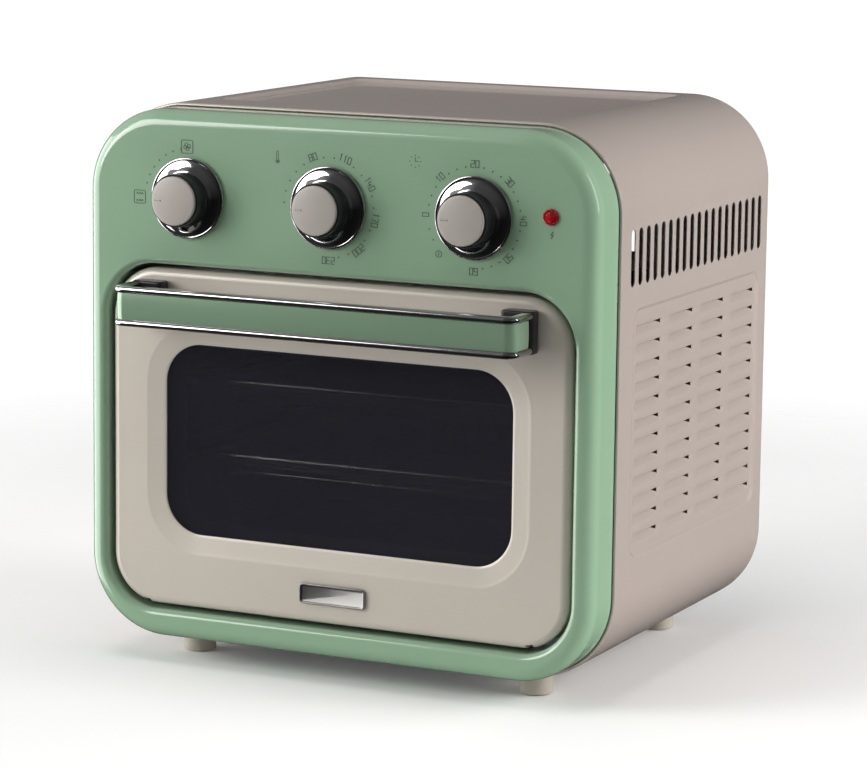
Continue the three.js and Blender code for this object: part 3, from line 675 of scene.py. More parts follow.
def louvre(skin, place, start, end, hinge):
    """A flap pressed in along its upper edge, with a gusset at each end."""
    top = FLAP[-1][0]
    rows = []
    for rise, sink in FLAP:
        ramp = LOUVRE_RAMP * rise / top
        rows.append([place(y, hinge + rise, sink) for y in (start + ramp, end - ramp)])
    for side in (0, 1):
        edge = place((start, end)[side], hinge + GUSSET, 0)
        for low_row, high_row in zip(rows, rows[1:]):
            skin.face([edge, low_row[side], high_row[side]])
    for low_row, high_row in zip(rows, rows[1:]):
        skin.face([low_row[0], low_row[1], high_row[1], high_row[0]])


def louvre_field(skin, place, middle, top):
    """The rows and columns of louvres in a flat sheet. Returns the sheet's outline."""
    spare = (LOUVRE_PITCH - LOUVRE_CUT) / 2
    across, cuts = [], []
    for i in range(LOUVRE_COLUMNS):
        centre = middle + (i - (LOUVRE_COLUMNS - 1) / 2) * LOUVRE_SPACING
        before = LOUVRE_MARGIN if i == 0 else (LOUVRE_SPACING - LOUVRE_LENGTH) / 2
        across += [centre - LOUVRE_LENGTH / 2 - before, centre - LOUVRE_LENGTH / 2,
                   centre + LOUVRE_LENGTH / 2]
        cuts.append(len(across) - 2)
    across.append(across[-1] + LOUVRE_MARGIN)
    upward, hinges = [], []
    for i in reversed(range(LOUVRE_ROWS)):
        hinge = top - i * LOUVRE_PITCH - LOUVRE_CUT
        upward += [hinge - spare, hinge, hinge + GUSSET, hinge + LOUVRE_CUT]
        hinges.append(len(upward) - 3)
    upward.append(hinge + LOUVRE_CUT + spare)
    for row in range(len(upward) - 1):
        for column in range(len(across) - 1):
            if column in cuts and (row in hinges or row - 1 in hinges):
                continue
            y0, y1 = across[column], across[column + 1]
            z0, z1 = upward[row], upward[row + 1]
            skin.face([place(y0, z0, 0), place(y1, z0, 0), place(y1, z1, 0), place(y0, z1, 0)])
    for row in hinges:
        for column in cuts:
            louvre(skin, place, across[column], across[column + 1], upward[row])
    half = across.index(middle)
    low, high = upward[0], upward[-1]
    outline = [(y, low) for y in across[half:]] + [(across[-1], z) for z in upward[1:]]
    outline += [(y, high) for y in reversed(across[half:-1])]
    outline += [(y, high) for y in reversed(across[:half])]
    outline += [(across[0], z) for z in reversed(upward[:-1])]
    outline += [(y, low) for y in across[1:half]]
    return [place(y, z, 0) for y, z in outline]


def casing_side(skin, sign, edges, seam, low, high):
    """One flat side: vent slots above a pressed panel of louvres."""
    near, far = edges
    half = high.x

    def place(y, z, sink):
        return (sign * (half - sink), seam + y, z)

    flat_low, flat_high = low.z + CASING_CORNER, high.z - CASING_CORNER
    row_low, row_high, joints = vent_slots(skin, place, high.z)
    panel = (PRESSED["front"], far + LIP - PRESSED["back"],
             low.z + PRESSED["low"], high.z - PRESSED["high"])
    middle = (panel[0] + panel[1]) / 2
    band_low, band_high = panel[2] - 4, panel[3] + 4
    shoulder = [(0, 0), (0.6, 0.1), (1.4, 0.65), (2.2, 1.2), (2.8, PRESSED["sink"])]
    loops = []
    for inset, sink in shoulder:
        outline = ring(panel[0] + inset, panel[1] - inset, panel[2] + inset, panel[3] - inset,
                       PRESSED["corner"] - inset)
        loops.append([place(y, z, sink) for y, z in outline])
    frame_outline = [(middle, band_low), (far, band_low), (far, band_high), (middle, band_high),
                     (near, band_high), (near, band_low)]
    skin.collar([place(y, z, 0) for y, z in frame_outline], loops[0])
    skin.loft(loops)

    def pressed_place(y, z, sink):
        return place(y, z, sink + PRESSED["sink"])

    first_cut = panel[3] - LOUVRE_DROP
    field = louvre_field(skin, pressed_place, middle, first_cut)
    skin.collar(loops[-1], field)
    row = [near] + joints + [far]
    bands = [
        (flat_low, [near, far], band_low, [near, middle, far]),
        (band_high, [near, middle, far], row_low, row),
        (row_high, row, flat_high, [near, far]),
    ]
    for z0, lower, z1, upper in bands:
        skin.face([place(y, z0, 0) for y in lower] + [place(y, z1, 0) for y in reversed(upper)])
    for y0, y1 in ((near, joints[0]), (joints[-1], far)):
        skin.face([place(y0, row_low, 0), place(y1, row_low, 0),
                   place(y1, row_high, 0), place(y0, row_high, 0)])
    return [flat_low, band_low, band_high, row_low, row_high, flat_high]


def casing_top(skin, edges, seam, high):
    """The top flat with its shallow pressed tray."""
    near, far = (seam + edge for edge in edges)
    half = high.x - CASING_CORNER
    outer = [(0, near), (half, near), (half, far), (0, far), (-half, far), (-half, near)]
    front, back = seam + TOP_RECESS["front"], high.y - TOP_RECESS["back"]
    shoulder = [(0, 0), (0.7, 0.12), (1.5, 0.6), (2.6, 1.7), (3.6, 2.3), (4.8, TOP_RECESS["sink"])]
    loops = []
    for inset, sink in shoulder:
        wide = TOP_RECESS["half"] - inset
        outline = ring(-wide, wide, front + inset, back - inset, TOP_RECESS["corner"] - inset)
        loops.append(level(outline, high.z - sink))
    skin.collar(level(outer, high.z), loops[0])
    skin.loft(loops)
    skin.face(loops[-1])


def wrapped_outline(low, high, inset, levels):
    """The casing's section, open underneath, from its right edge round to its left edge."""
    half = high.x - inset
    radius = CASING_CORNER - inset
    centre = high.x - CASING_CORNER
    bottom, top = low.z + CASING_CORNER, high.z - CASING_CORNER
    right = [(UNDERSIDE_GAP, low.z + inset)] + arc((centre, bottom), radius, -90, 0, CORNER_STEPS)
    right += [(half, z) for z in levels] + arc((centre, top), radius, 0, 90, CORNER_STEPS)
    return right + [(0, high.z - inset)] + [(-x, z) for x, z in reversed(right)]


def casing():
    low, high = box("outer_casing")
    seam = low.y
    edges = (LIP, high.y - seam - LIP)
    skin = Skin()
    for sign in (-1, 1):
        levels = casing_side(skin, sign, edges, seam, low, high)
    casing_top(skin, edges, seam, high)
    levels = levels[1:-1]
    lip = [(LIP + 0.5, 0)] + list(reversed(quarter_round(LIP, LIP, 5)))
    for base, direction in ((low.y, 1), (high.y, -1)):
        loops = [upright(wrapped_outline(low, high, inset, levels), base + direction * depth)
                 for inset, depth in lip]
        skin.loft(loops, closed=False)
    outline = wrapped_outline(low, high, 0, levels)
    near, far = (seam + edge for edge in edges)
    for (x0, z0), (x1, z1) in zip(outline, outline[1:]):
        on_side = abs(x0) == abs(x1) == high.x
        on_top = z0 == z1 == high.z
        if not (on_side or on_top):
            skin.face([(x0, near, z0), (x1, near, z1), (x1, far, z1), (x0, far, z0)])
    thing = piece("casing_shell", skin, "casing_paint", ["outer_casing"], sharp=40)
    thickened(thing, CASING_SHEET)
    even_shading(thing)


# ---------------------------------------------------------------- bezel
BEZEL_CORNER = 50
BULL_NOSE = (9.4, 11)
BEZEL_WALL = 2.5
DOOR_CORNER = 30
DOOR_GAP = 2.6
OPENING_ROUND = (4, 5)
FRONT_HOLE = 4


def bezel():
    low, high = box("front_bezel")
    front, back = low.y, high.y
    sleeve_back = box("chassis_front")[0].y - 0.3
    outer = drawn_in("front_bezel", BEZEL_CORNER)
    door = drawn_in("door_frame", DOOR_CORNER)
    wide, deep = BULL_NOSE
    sleeve = -DOOR_GAP - BEZEL_WALL
    loops = swept(outer, [(0, back)] + behind(front, quarter_round(wide, deep, 12)))
    fillet = [(-DOOR_GAP - grow, depth) for grow, depth in reversed(quarter_round(*OPENING_ROUND))]
    loops += swept(door, behind(front, fillet))
    loops += swept(door, [(-DOOR_GAP, sleeve_back), (sleeve, sleeve_back),
                          (sleeve, front + OPENING_ROUND[1] + BEZEL_WALL)])
    loops += swept(outer, [(wide + BEZEL_WALL, front + BEZEL_WALL), (BEZEL_WALL, front + deep),
                           (BEZEL_WALL, back)])
    thing = piece("bezel_moulding", Skin().loft(loops, wrap=True), "bezel_green", ["front_bezel"])
    holes = Skin()
    for node in ("function_shaft", "thermostat_shaft", "timer_shaft", "lamp_lens"):
        middle = middle_of(node)
        holes.lathe([(FRONT_HOLE, -1), (FRONT_HOLE, BEZEL_WALL + 1)],
                    (middle.x, front, middle.z), 48, "back")
    cut(thing, holes)
    even_shading(thing)


# ---------------------------------------------------------------- door
DOOR_ROUND = 5
DOOR_SKIN = 2.6
DOOR_WALL = 3
NOTCH_HALF = 2.2
NOTCH_ROOM = 2.8
NOTCH_DROP = 14
NOTCH_DEPTH = 20
WINDOW_CORNER = 24
GLASS_OVERLAP = 6
WINDOW_BEVEL = [(13, 0), (12.2, 0.05), (11.3, 0.22), (10, 0.48), (2, 1.55), (0.9, 1.75),
                (0.25, 2.05), (0, 2.4)]


def window_size():
    glass_low, glass_high = box("door_glass")
    return glass_high.x - GLASS_OVERLAP, glass_low.z + GLASS_OVERLAP, glass_high.z - GLASS_OVERLAP


def window_outline(grow):
    half, low, high = window_size()
    return round_rect(half + grow, low - grow, high + grow, WINDOW_CORNER + grow)


def hinge_notches():
    """Room for the fixed hinge arms in the door's lower edge."""
    skin = Skin()
    for side in ("left", "right"):
        x, y, z = middle_of("hinge_pin_" + side)
        brick(skin, (x - NOTCH_HALF, y - NOTCH_ROOM, z - NOTCH_DROP),
              (x + NOTCH_HALF, y + NOTCH_DEPTH, z + NOTCH_ROOM))
    return skin


def door_frame():
    low, high = box("door_frame")
    front, back = low.y, high.y
    outer = drawn_in("door_frame", DOOR_CORNER)
    rebate = [(GLASS_OVERLAP + 0.6, 2.4), (GLASS_OVERLAP + 1.2, DOOR_SKIN)]
    loops = swept(outer, [(0, back)] + behind(front, quarter_round(DOOR_ROUND, DOOR_ROUND)))
    loops += swept(window_outline, behind(front, WINDOW_BEVEL + rebate))
    loops += swept(outer, [(DOOR_WALL, front + DOOR_SKIN), (DOOR_WALL, back)])
    thing = piece("door_skin", Skin().loft(loops, wrap=True), "door_paint", ["door_frame"], "door")
    cut(thing, hinge_notches())
    even_shading(thing)


def flat_glass(name, node, key):
    low, high = box(node)
    edge = 0.4
    steps = [(edge, low.y), (0, low.y + edge), (0, high.y - edge), (edge, high.y)]
    loops = swept(window_outline, [(GLASS_OVERLAP - inset, y) for inset, y in steps])
    piece(name, Skin().solid(loops), key, [node], "door", sharp=20)


def window():
    flat_glass("window_pane", "door_glass", "tinted_glass")
    flat_glass("inner_pane", "door_inner_glass", "clear_glass")


# ---------------------------------------------------------------- handle
HANDLE_BEND = 8
HANDLE_THICKNESS = 7
BEAD = 3.9


def handle_section():
    """The strap's section as (depth behind its front, height from its middle)."""
    low, high = box("handle_bar")
    half = (high.z - low.z) / 2
    bead = arc((BEAD / 2, half - BEAD / 2), BEAD / 2, 90, 225, 8)
    inner = [(1.35, half - BEAD - 0.1), (2.6, half - BEAD - 0.1)]
    upper = [(HANDLE_THICKNESS - 1.2, half), (BEAD / 2, half)] + bead[1:] + inner
    lower = [(depth, -height) for depth, height in reversed(upper)]
    back = [(HANDLE_THICKNESS, -half + 1.2), (HANDLE_THICKNESS, half - 1.2)]
    return upper + lower + back


def strap_path(offset, leg_end):
    """Plan points of the strap at one depth behind its face, from right to left."""
    low, high = box("handle_bar")
    bend = HANDLE_BEND
    half = high.x - offset
    centre_x, centre_y = high.x - bend, low.y + bend
    right = [(half, leg_end), (half, centre_y + 4)]
    right += arc((centre_x, centre_y), bend - offset, 0, -90, 12)
    return right + [(-x, y) for x, y in reversed(right)]


def strap(name, section, leg_end, key, node):
    """A section of (depth, height) pairs drawn along the handle."""
    middle = middle_of("handle_bar").z
    paths = [(strap_path(depth, leg_end), middle + height) for depth, height in section]
    loops = [[(*path[i], z) for path, z in paths] for i in range(len(paths[0][0]))]
    even_shading(piece(name, Skin().solid(loops), key, [node], "door", sharp=38))


def handle():
    legs = box("handle_bar")[1].y
    strap("handle_strap", handle_section(), legs, "polished_chrome", "handle_bar")
    low, high = box("handle_inlay")
    half = (high.z - low.z) / 2 + 0.25
    face = [(1.25 + 0.35 * share ** 2, half * share) for share in [1 - i / 6 for i in range(13)]]
    section = [(2.8, half)] + face + [(2.8, -half)]
    strap("handle_band", section, legs - 2.2, "handle_green", "handle_inlay")
    for side in ("left", "right"):
        node = "handle_mount_" + side
        block = soft_brick(Skin(), *box(node), 3, 1.2)
        even_shading(piece(node + "_block", block, "black_plastic", [node], "door"))


# ---------------------------------------------------------------- knobs
KNOB_NAMES = ("function", "thermostat", "timer")
KNOB_BORE = 3.3
CROWN_SINK = 0.9


def knob_dish_profile(radius, neck, height):
    """A rolled rim and a hollow dish that steepens towards the grip."""
    lip = 1.75
    rim = [(KNOB_BORE, 0), (radius - 0.6, 0), (radius, 0.5), (radius, 1.2), (radius - 0.3, lip),
           (radius - 0.9, 1.9), (radius - 1.4, lip)]
    dish = [(radius - 1.6 - share * (radius - 2 - neck), lip + (height - lip) * share ** 1.7)
            for share in [i / 16 for i in range(17)]]
    return rim + dish + [(KNOB_BORE, height), (KNOB_BORE, 0)]


def knob(name):
    body = name + "_knob"
    skirt, grip, cap = (body + part for part in ("_skirt", "_grip", "_cap"))
    x, _, z = middle_of(skirt)
    neck, cap_radius = radius_of(grip), radius_of(cap)

    def turned(part, node, profile, key, **more):
        base = (x, box(node)[1].y, z)
        piece(body + part, Skin().lathe(profile, base, 96), key, [node], body, **more)

    def height(node):
        low, high = box(node)
        return high.y - low.y

    turned("_dish", skirt, knob_dish_profile(radius_of(skirt), neck, height(skirt)),
           "polished_chrome", sharp=50)
    tall = height(grip)
    pocket = cap_radius + 0.25
    turned("_barrel", grip, [
        (KNOB_BORE, 0), (neck - 0.3, 0), (neck, 0.4), (neck - 0.1, tall - 0.9),
        (neck - 0.3, tall - 0.3), (neck - 0.7, tall), (pocket + 0.15, tall),
        (pocket, tall - 0.2), (pocket, tall - 2.2), (0, tall - 2.2),
    ], "black_plastic")
    thick = height(cap)
    crown = [(0, 0), (cap_radius, 0), (cap_radius, thick - 1.7)]
    crown += [(cap_radius - 0.75 + 0.75 * math.cos(t), thick - 1.7 + 0.75 * math.sin(t))
              for t in (0.4, 0.8, 1.2)]
    crown += [(share * (cap_radius - 0.9), thick - CROWN_SINK * share ** 2)
              for share in [1 - i / 10 for i in range(11)]]
    turned("_button", cap, crown, "cream_plastic", sharp=60)

    def crown_face(reach):
        return box(cap)[1].y - thick + CROWN_SINK * (reach / (cap_radius - 0.9)) ** 2

    mark = spot(Skin(), x - 8, z, 0.5, crown_face(8) + 0.05, 0.15)
    piece(body + "_mark", mark, "pointer", body=body)
    line = ribbon(Skin(), [(x - 12.6, z), (x - 9.2, z)], 0.26, crown_face(12.6), 0.42)
    piece(body + "_line", line, "pointer_line", body=body)


def lamp():
    low, high = box("lamp_lens")
    x, _, z = middle_of("lamp_lens")
    radius = radius_of("lamp_lens")
    tall = high.y - low.y
    face = tall - 3.1
    profile = [(0, 0), (3.7, 0), (3.7, face + 0.3), (radius, face + 0.3), (radius, face + 1.1),
               (radius - 0.7, face + 1.7), (radius - 1.3, face + 1.3), (2.2, tall - 0.3),
               (0, tall)]
    jewel = Skin().lathe(profile, (x, high.y, z), 10, start=0.2)
    piece("lamp_jewel", jewel, "red_lens", ["lamp_lens"], sharp=12)


# ---------------------------------------------------------------- printed marks
INK_DEPTH = 0.12
STROKE = 0.42
DIGIT = (2.1, 4.0)
DIGIT_STEP = 2.95
GLYPHS = {
    "0": [[(0, 0), (1, 0), (1, 1), (0, 1), (0, 0)]],
    "1": [[(0.2, 0.8), (0.55, 1), (0.55, 0)]],
    "2": [[(0, 1), (1, 1), (1, 0.52), (0, 0.52), (0, 0), (1, 0)]],
    "3": [[(0, 1), (1, 1), (1, 0), (0, 0)], [(0.25, 0.52), (1, 0.52)]],
    "4": [[(0, 1), (0, 0.42), (1, 0.42)], [(0.72, 0.8), (0.72, 0)]],
    "5": [[(1, 1), (0, 1), (0, 0.55), (1, 0.55), (1, 0), (0, 0)]],
    "6": [[(1, 1), (0, 1), (0, 0), (1, 0), (1, 0.52), (0, 0.52)]],
    "7": [[(0, 1), (1, 1), (0.45, 0)]],
    "8": [[(0, 0), (1, 0), (1, 1), (0, 1), (0, 0)], [(0, 0.52), (1, 0.52)]],
}
NUMBER_RADIUS = 31
DOT_RADIUS = 29.5
DOT = 0.5
ICON_HALF = 3.9
ICON_STROKE = 0.4
HEAT_STEP = 40
TIME_STEP = 45


def around(centre, degrees, radius, across=0):
    """A point on a dial: degrees go clockwise from the top, across to the clockwise side."""
    turn = math.radians(degrees)
    return (centre[0] + radius * math.sin(turn) + across * math.cos(turn),
            centre[1] + radius * math.cos(turn) - across * math.sin(turn))


class Ink(Skin):
    """Marks printed on the bezel's face."""

    def __init__(self):
        super().__init__()
        self.base = box("front_bezel")[0].y

    def line(self, points, width=STROKE, closed=False):
        ribbon(self, points, width, self.base, INK_DEPTH, closed)

    def dot(self, x, z, radius=DOT):
        spot(self, x, z, radius, self.base, INK_DEPTH)

    def dots(self, centre, angles):
        for degrees in angles:
            self.dot(*around(centre, degrees, DOT_RADIUS))

    def number(self, text, centre, degrees):
        """A number that stands outwards on a dial, drawn in single strokes."""
        wide, tall = DIGIT
        for i, digit in enumerate(text):
            offset = (i - (len(text) - 1) / 2) * DIGIT_STEP
            for stroke in GLYPHS[digit]:
                points = [around(centre, degrees, NUMBER_RADIUS + (v - 0.5) * tall,
                                 offset + (u - 0.5) * wide) for u, v in stroke]
                ends_meet = stroke[0] == stroke[-1]
                self.line(points[:-1] if ends_meet else points, closed=ends_meet)


def circle(centre, radius, steps=24):
    return arc(centre, radius, 0, 360, steps)[:-1]


def square_icon(ink, centre):
    x, z = centre
    outline = round_rect(ICON_HALF, -ICON_HALF, ICON_HALF, 0.9, 3)
    ink.line([(x + dx, z + dz) for dx, dz in outline], ICON_STROKE, closed=True)


def fan_icon(ink, centre):
    """A frame round a wheel with four blades."""
    square_icon(ink, centre)
    for blade in arc(centre, 1.35, 20, 290, 3):
        ink.line(circle(blade, 1.0, 12), 0.35, closed=True)


def oven_icon(ink, centre):
    """A frame with a wavy heater under its roof and one over its floor."""
    square_icon(ink, centre)
    x, z = centre
    for rise in (2.1, -2.1):
        wave = [(x - 2.4 + 0.8 * k, z + rise + (0.45 if k % 2 else -0.45)) for k in range(7)]
        ink.line(wave, 0.38)


def thermometer_icon(ink, centre):
    x, z = centre
    stem = [(x + 0.6, z - 1.4)] + arc((x, z + 2.9), 0.6, 0, 180, 6) + [(x - 0.6, z - 1.4)]
    bulb = arc((x, z - 2.4), 1.15, 121, 419, 14)
    ink.line(stem + bulb[1:-1], 0.3, closed=True)
    ink.dot(x, z - 2.4, 0.7)


def clock_icon(ink, centre):
    """A ring of dots round two hands."""
    x, z = centre
    for place in circle(centre, 3.4, 8):
        ink.dot(*place, 0.36)
    ink.line([(x, z + 2.4), (x, z), (x + 1.9, z)], ICON_STROKE)


def spark_icon(ink, centre):
    """A zigzag spark beside the pilot lamp."""
    x, z = centre
    ink.line([(x + 0.7, z + 2.1), (x - 0.8, z + 0.1), (x + 0.7, z + 0.1), (x - 0.7, z - 2.1)], 0.5)


def always_on_icon(ink, centre, degrees):
    """The dial's always-on place: a ring with a bar through it."""
    x, z = around(centre, degrees, NUMBER_RADIUS + 0.5)
    ink.line(circle((x, z), 1.9, 20), ICON_STROKE, closed=True)
    ink.line([(x, z - 1.0), (x, z + 1.0)], 0.5)


def dials():
    left, middle, right = (
        (place.x, place.z) for place in (middle_of(name + "_knob_skirt") for name in KNOB_NAMES)
    )
    functions, heat, time, spark = (Ink() for _ in range(4))
    functions.dots(left, [285 + 10.8 * k for k in range(7)])
    fan_icon(functions, (left[0] - 1, left[1] + 30.7))
    oven_icon(functions, (left[0] - 33.5, left[1] - 1))
    for k, text in enumerate(("80", "110", "140", "170", "200", "230")):
        angle = 340 + HEAT_STEP * k
        heat.number(text, middle, angle)
        if k < 5:
            heat.dots(middle, [angle + HEAT_STEP / 3, angle + HEAT_STEP * 2 / 3])
    heat.dots(middle, [273 + 13.3 * k for k in range(5)])
    thermometer_icon(heat, (middle[0] - 34, middle[1] + 28))
    for k in range(7):
        angle = 270 + TIME_STEP * k
        time.number(str(10 * k), right, angle)
        if k < 6:
            time.dots(right, [angle + TIME_STEP / 4 * step for step in (1, 2, 3)])
    time.dots(right, [241, 254])
    always_on_icon(time, right, 225)
    clock_icon(time, (right[0] - 38, right[1] + 30.4))
    spark_icon(spark, (middle_of("lamp_lens").x + 0.7, box("lamp_lens")[0].z - 5.4))
    for name, ink in (("function_dial", functions), ("thermostat_dial", heat),
                      ("timer_dial", time), ("lamp_icon", spark)):
        piece(name, ink, "ink", sharp=30)


# ---------------------------------------------------------------- inside the oven
def basket(name):
    """A rod rim with a basket of crossing wires welded to it."""
    node = name + "_rack"
    low, high = box(node)
    rod, wire = 2.5, 0.55
    rim_z = high.z - rod
    skin = Skin()
    rim = level(ring(low.x + rod, high.x - rod, low.y + rod, high.y - rod, 9, 6), rim_z)
    tube(skin, rim, rod, (0, 0, 1), closed=True, sides=14)
    half = high.x - 2 * rod - wire
    near, far = low.y + 2 * rod + wire, high.y - 2 * rod - wire
    floor = low.z + wire
    hoop = ring(-half, half, near, far, 5, 4)
    for z in (rim_z - 5.6, rim_z - 9.8):
        tube(skin, level(hoop, z), wire, (0, 0, 1), closed=True, sides=6)

    def pan(start, end, floor_z):
        bend = 2.5
        path = [(start - 1.4, rim_z - 0.6), (start, rim_z - 2.4)]
        path += arc((start + bend, floor_z + bend), bend, 180, 270, 4)
        path += arc((end - bend, floor_z + bend), bend, 270, 360, 4)
        return path + [(end, rim_z - 2.4), (end + 1.4, rim_z - 0.6)]

    across, deep = 29, 22
    for i in range(across):
        x = (half - 5) * (2 * i / (across - 1) - 1)
        tube(skin, [(x, y, z) for y, z in pan(near, far, floor)], wire, (1, 0, 0), sides=6)
    for i in range(deep):
        y = near + 5 + (far - near - 10) * i / (deep - 1)
        path = [(x, y, z) for x, z in pan(-half, half, floor + 2 * wire)]
        tube(skin, path, wire, (0, 1, 0), sides=6)
    piece(name + "_basket_wires", skin, "rack_wire", [node], name + "_basket", sharp=50)


def drip_pan():
    low, high = box("drip_tray")
    profile = [(3.2, 0), (1.6, 0.5), (0.9, 2), (0.7, 10.6), (0, 11.4), (0, 12.4), (0.5, 13),
               (1.3, 13), (1.7, 12.4), (1.8, 10.6), (2.0, 2.8), (2.8, 1.5), (4.6, 1.0)]
    loops = [level(ring(low.x + inset, high.x - inset, low.y + inset, high.y - inset,
                        11 - inset), low.z + rise) for inset, rise in profile]
    pan = Skin().solid(loops)
    even_shading(piece("drip_pan", pan, "cavity_steel", ["drip_tray"], "tray", sharp=50))


def door_liner():
    """The pressed sheet that faces the cavity, with a raised border round its window."""
    low, high = box("door_inner_panel")
    front, back = low.y, high.y
    outer = drawn_in("door_inner_panel", 24)
    border = [(0, front), (0, back - 1.6), (0.5, back - 0.5), (1.6, back), (11, back),
              (11.8, back - 0.25), (12.8, back - 0.9)]
    flange = [(-1.4, back - 0.9), (-3.0, back - 1.1), (-4, back - 1.9), (-4, back - 2.9),
              (-3.1, back - 2.9), (-3.1, back - 1.9)]
    inside = [(12.8, back - 1.8), (11, back - 1.0), (1.2, back - 1.0), (0.9, front)]
    loops = swept(outer, border) + swept(window_outline, flange) + swept(outer, inside)
    thing = piece("door_liner", Skin().loft(loops, wrap=True), "liner", ["door_inner_panel"],
                  "door", sharp=40)
    cut(thing, hinge_notches())
    even_shading(thing)


def seal():
    """A hollow-section gasket with a rounded lip, held on the chassis."""
    back = box("door_gasket")[1].y
    lip = [(0, 0), (0, 0.5), (0.7, 0.9), (1.2, 1.5), (2.1, 2.05), (3, 2.2), (3.9, 2.05),
           (4.8, 1.5), (5.3, 0.9), (6, 0.5), (6, 0)]
    loops = swept(drawn_in("door_gasket", 17, 10), [(inset, back - rise) for inset, rise in lip])
    piece("door_seal", Skin().loft(loops, wrap=True), "silicone", ["door_gasket"], sharp=60)


# ---------------------------------------------------------------- back
REAR_SCREWS = [f"rear_screw_{i}" for i in range(1, 5)]
REAR_VENT_COLUMNS = 9
REAR_VENT_PITCH = 20
REAR_VENT_DROPS = (73.5, 188.5)
REAR_VENT_HALVES = (3, 28)


def stadium(x, z, half_wide, half_tall):
    offset = half_tall - half_wide
    upper = arc((x, z + offset), half_wide, 0, 180, ROUND_STEPS)
    return upper + arc((x, z - offset), half_wide, 180, 360, ROUND_STEPS)


def rear_cover():
    low, high = box("rear_panel")
    loops = swept(drawn_in("rear_panel", 50.5), [
        (0, low.y), (0, high.y - 0.5), (0.5, high.y), (7, high.y), (8, high.y - 0.3),
        (9.4, high.y - 0.35),
    ])
    thing = piece("rear_cover", Skin().solid(loops), "zinc_sheet", ["rear_panel"], sharp=40)
    holes = Skin()
    for column in range(REAR_VENT_COLUMNS):
        x = (column - (REAR_VENT_COLUMNS - 1) / 2) * REAR_VENT_PITCH
        for drop in REAR_VENT_DROPS:
            slot = stadium(x, high.z - drop, *REAR_VENT_HALVES)
            holes.solid([upright(slot, low.y - 1), upright(slot, high.y + 1)])
    for node, radius in [("cord_gland", 7.6)] + [(screw, 2) for screw in REAR_SCREWS]:
        middle = middle_of(node)
        holes.lathe([(radius, -1), (radius, 3)], (middle.x, low.y, middle.z), 32, "back")
    cut(thing, holes)
    even_shading(thing)


def cross(reach, half):
    """A plus sign's outline, drawn counter-clockwise from its right arm."""
    arm = [(reach, -half), (reach, half), (half, half)]
    points = list(arm)
    for _ in range(3):
        arm = [(-y, x) for x, y in arm]
        points += arm
    return points


def screws():
    """Pan heads with a cross recess."""
    for node in REAR_SCREWS:
        low, high = box(node)
        middle = middle_of(node)
        radius = radius_of(node)
        tall = high.y - low.y
        seat = tall - 2.0
        head = [(0, 0), (1.0, 0), (1.6, 0.8), (1.6, seat), (radius, seat), (radius, seat + 0.5),
                (radius * 0.93, seat + 1.1), (radius * 0.72, seat + 1.65),
                (radius * 0.4, seat + 1.92), (0, tall)]
        skin = Skin().lathe(head, (middle.x, low.y, middle.z), 40, "back")
        thing = piece(node + "_head", skin, "zinc_sheet", [node], sharp=40)
        outline = [(middle.x + x, middle.z + z) for x, z in cross(2.2, 0.45)]
        cut(thing, Skin().solid([upright(outline, y) for y in (high.y - 1.1, high.y + 1)]))


def gland():
    """The moulded cord bush, with grip ribs on its outer barrel."""
    low, high = box("cord_gland")
    middle = (low + high) / 2
    barrel, flange, bore = 7.3, radius_of("cord_gland"), 4
    long = high.y - low.y
    seat = long - 9.5
    profile = [(bore, 0), (barrel - 0.6, 0), (barrel, 0.8), (barrel, seat), (flange - 0.6, seat),
               (flange, seat + 0.6), (flange, seat + 2.2), (flange - 0.9, seat + 3.1)]
    rib = seat + 3.6
    while rib + 1.7 < long - 0.8:
        profile += [(barrel - 0.5, rib), (barrel, rib + 0.4), (barrel, rib + 1.1),
                    (barrel - 0.5, rib + 1.5)]
        rib += 1.9
    profile += [(barrel - 0.6, long - 0.6), (barrel - 1.3, long), (bore + 0.6, long),
                (bore, long - 0.6), (bore, 0)]
    bush = Skin().lathe(profile, (middle.x, low.y, middle.z), 48, "back")
    piece("cord_bush", bush, "black_plastic", ["cord_gland"], sharp=40)


# ---------------------------------------------------------------- badge and feet
def badge():
    """A raised frame round a sunk field."""
    low, high = box("badge_plate")
    front = low.y
    loops = swept(drawn_in("badge_plate", 2.6, 6), [
        (0, high.y), (0, front + 0.6), (0.25, front + 0.2), (0.6, front), (1.1, front + 0.1),
        (1.5, front + 0.8), (1.9, front + 0.95),
    ])
    piece("badge_frame", Skin().solid(loops), "badge_metal", ["badge_plate"], "door", sharp=40)


def feet():
    for row in ("front", "rear"):
        for side in ("left", "right"):
            node = f"foot_{row}_{side}"
            low, high = box(node)
            x, y, _ = middle_of(node)
            radius, tall = radius_of(node), high.z - low.z
            profile = [(0, 0), (radius - 2.4, 0), (radius - 1.9, 0.5), (radius - 0.9, 0.5),
                       (radius - 0.3, 0.9), (radius - 0.1, 1.6), (radius, tall), (0, tall)]
            pad = Skin().lathe(profile, (x, y, low.z), 64, "up")
            piece(node + "_pad", pad, "foot_rubber", [node])


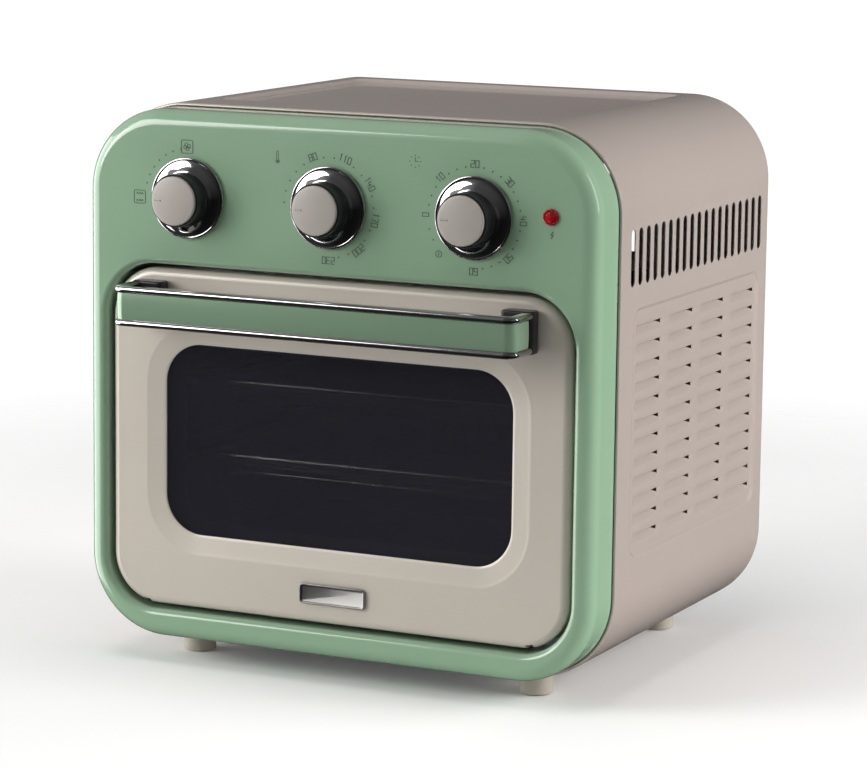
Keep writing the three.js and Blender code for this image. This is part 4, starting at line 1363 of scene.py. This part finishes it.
# ---------------------------------------------------------------- CAD nodes that stay as they are
KEPT = {
    "zinc_sheet": ["base_plate", "chassis_front", "fan_housing", "hot_air_fan", "cooling_fan",
                   "fan_shaft", "fan_motor", "motor_bracket", "hinge_pin_left",
                   "hinge_pin_right", "hinge_bracket_left", "hinge_bracket_right",
                   "function_shaft", "thermostat_shaft", "timer_shaft"],
    "cavity_steel": ["cavity_liner", "rack_rail_left", "rack_rail_right"],
    "rack_wire": ["fan_guard"],
    "heater_steel": ["heater_coil"],
    "black_plastic": ["thermal_cutout"],
    "switch_plastic": ["function_switch", "thermostat_switch", "timer_switch", "lamp_holder"],
}
KEPT_EDGE = 0.25


def finish_kept_nodes():
    for key, names in KEPT.items():
        for name in names:
            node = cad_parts[name]
            node.data.materials.clear()
            node.data.materials.append(FINISHES[key])
            edge = node.modifiers.new("edge", "BEVEL")
            edge.width = KEPT_EDGE * MM
            edge.segments = 2
            edge.limit_method = "ANGLE"
            edge.angle_limit = math.radians(40)


# ---------------------------------------------------------------- floor
FLOOR_REACH = 1.2
FLOOR_SOLID = 0.35


def make_floor():
    """A pale sheet that fades out into the white of the studio."""
    finish = Finish("floor_paper", Roughness=0.8, Specular_IOR_Level=0.2)
    finish.colour(finish.noise(3, 3), (0.9, 0.9, 0.9), (0.94, 0.94, 0.94))
    finish.bump(finish.noise(300, 3), 0.02, 0.2)
    finish.set(Emission_Color=(1, 1, 1), Emission_Strength=0.04)
    distance = finish.node("VectorMath")
    distance.operation = "LENGTH"
    finish.link(finish.place, distance.inputs[0])
    fade = finish.node("MapRange")
    fade.interpolation_type = "SMOOTHSTEP"
    fade.inputs["From Min"].default_value = FLOOR_SOLID
    fade.inputs["From Max"].default_value = FLOOR_REACH
    fade.inputs["To Min"].default_value = 1
    fade.inputs["To Max"].default_value = 0
    finish.link(distance.outputs["Value"], fade.inputs["Value"])
    finish.link(fade.outputs["Result"], finish.surface.inputs["Alpha"])
    skin = Skin()
    skin.face(level(circle((0, 0), FLOOR_REACH / MM, steps=96), 0))
    mesh = mesh_of("floor", skin, outwards=False)
    mesh.materials.append(finish.material)
    floor = placed("floor", mesh)
    floor.visible_glossy = False


# ---------------------------------------------------------------- assembly
bpy.context.scene.view_settings.view_transform = "Standard"
make_camera()
make_world()
make_lights()
make_floor()
casing()
bezel()
door_frame()
window()
handle()
for knob_name in KNOB_NAMES:
    knob(knob_name)
lamp()
dials()
badge()
feet()
for basket_name in ("upper", "lower"):
    basket(basket_name)
drip_pan()
door_liner()
seal()
rear_cover()
screws()
gland()
finish_kept_nodes()
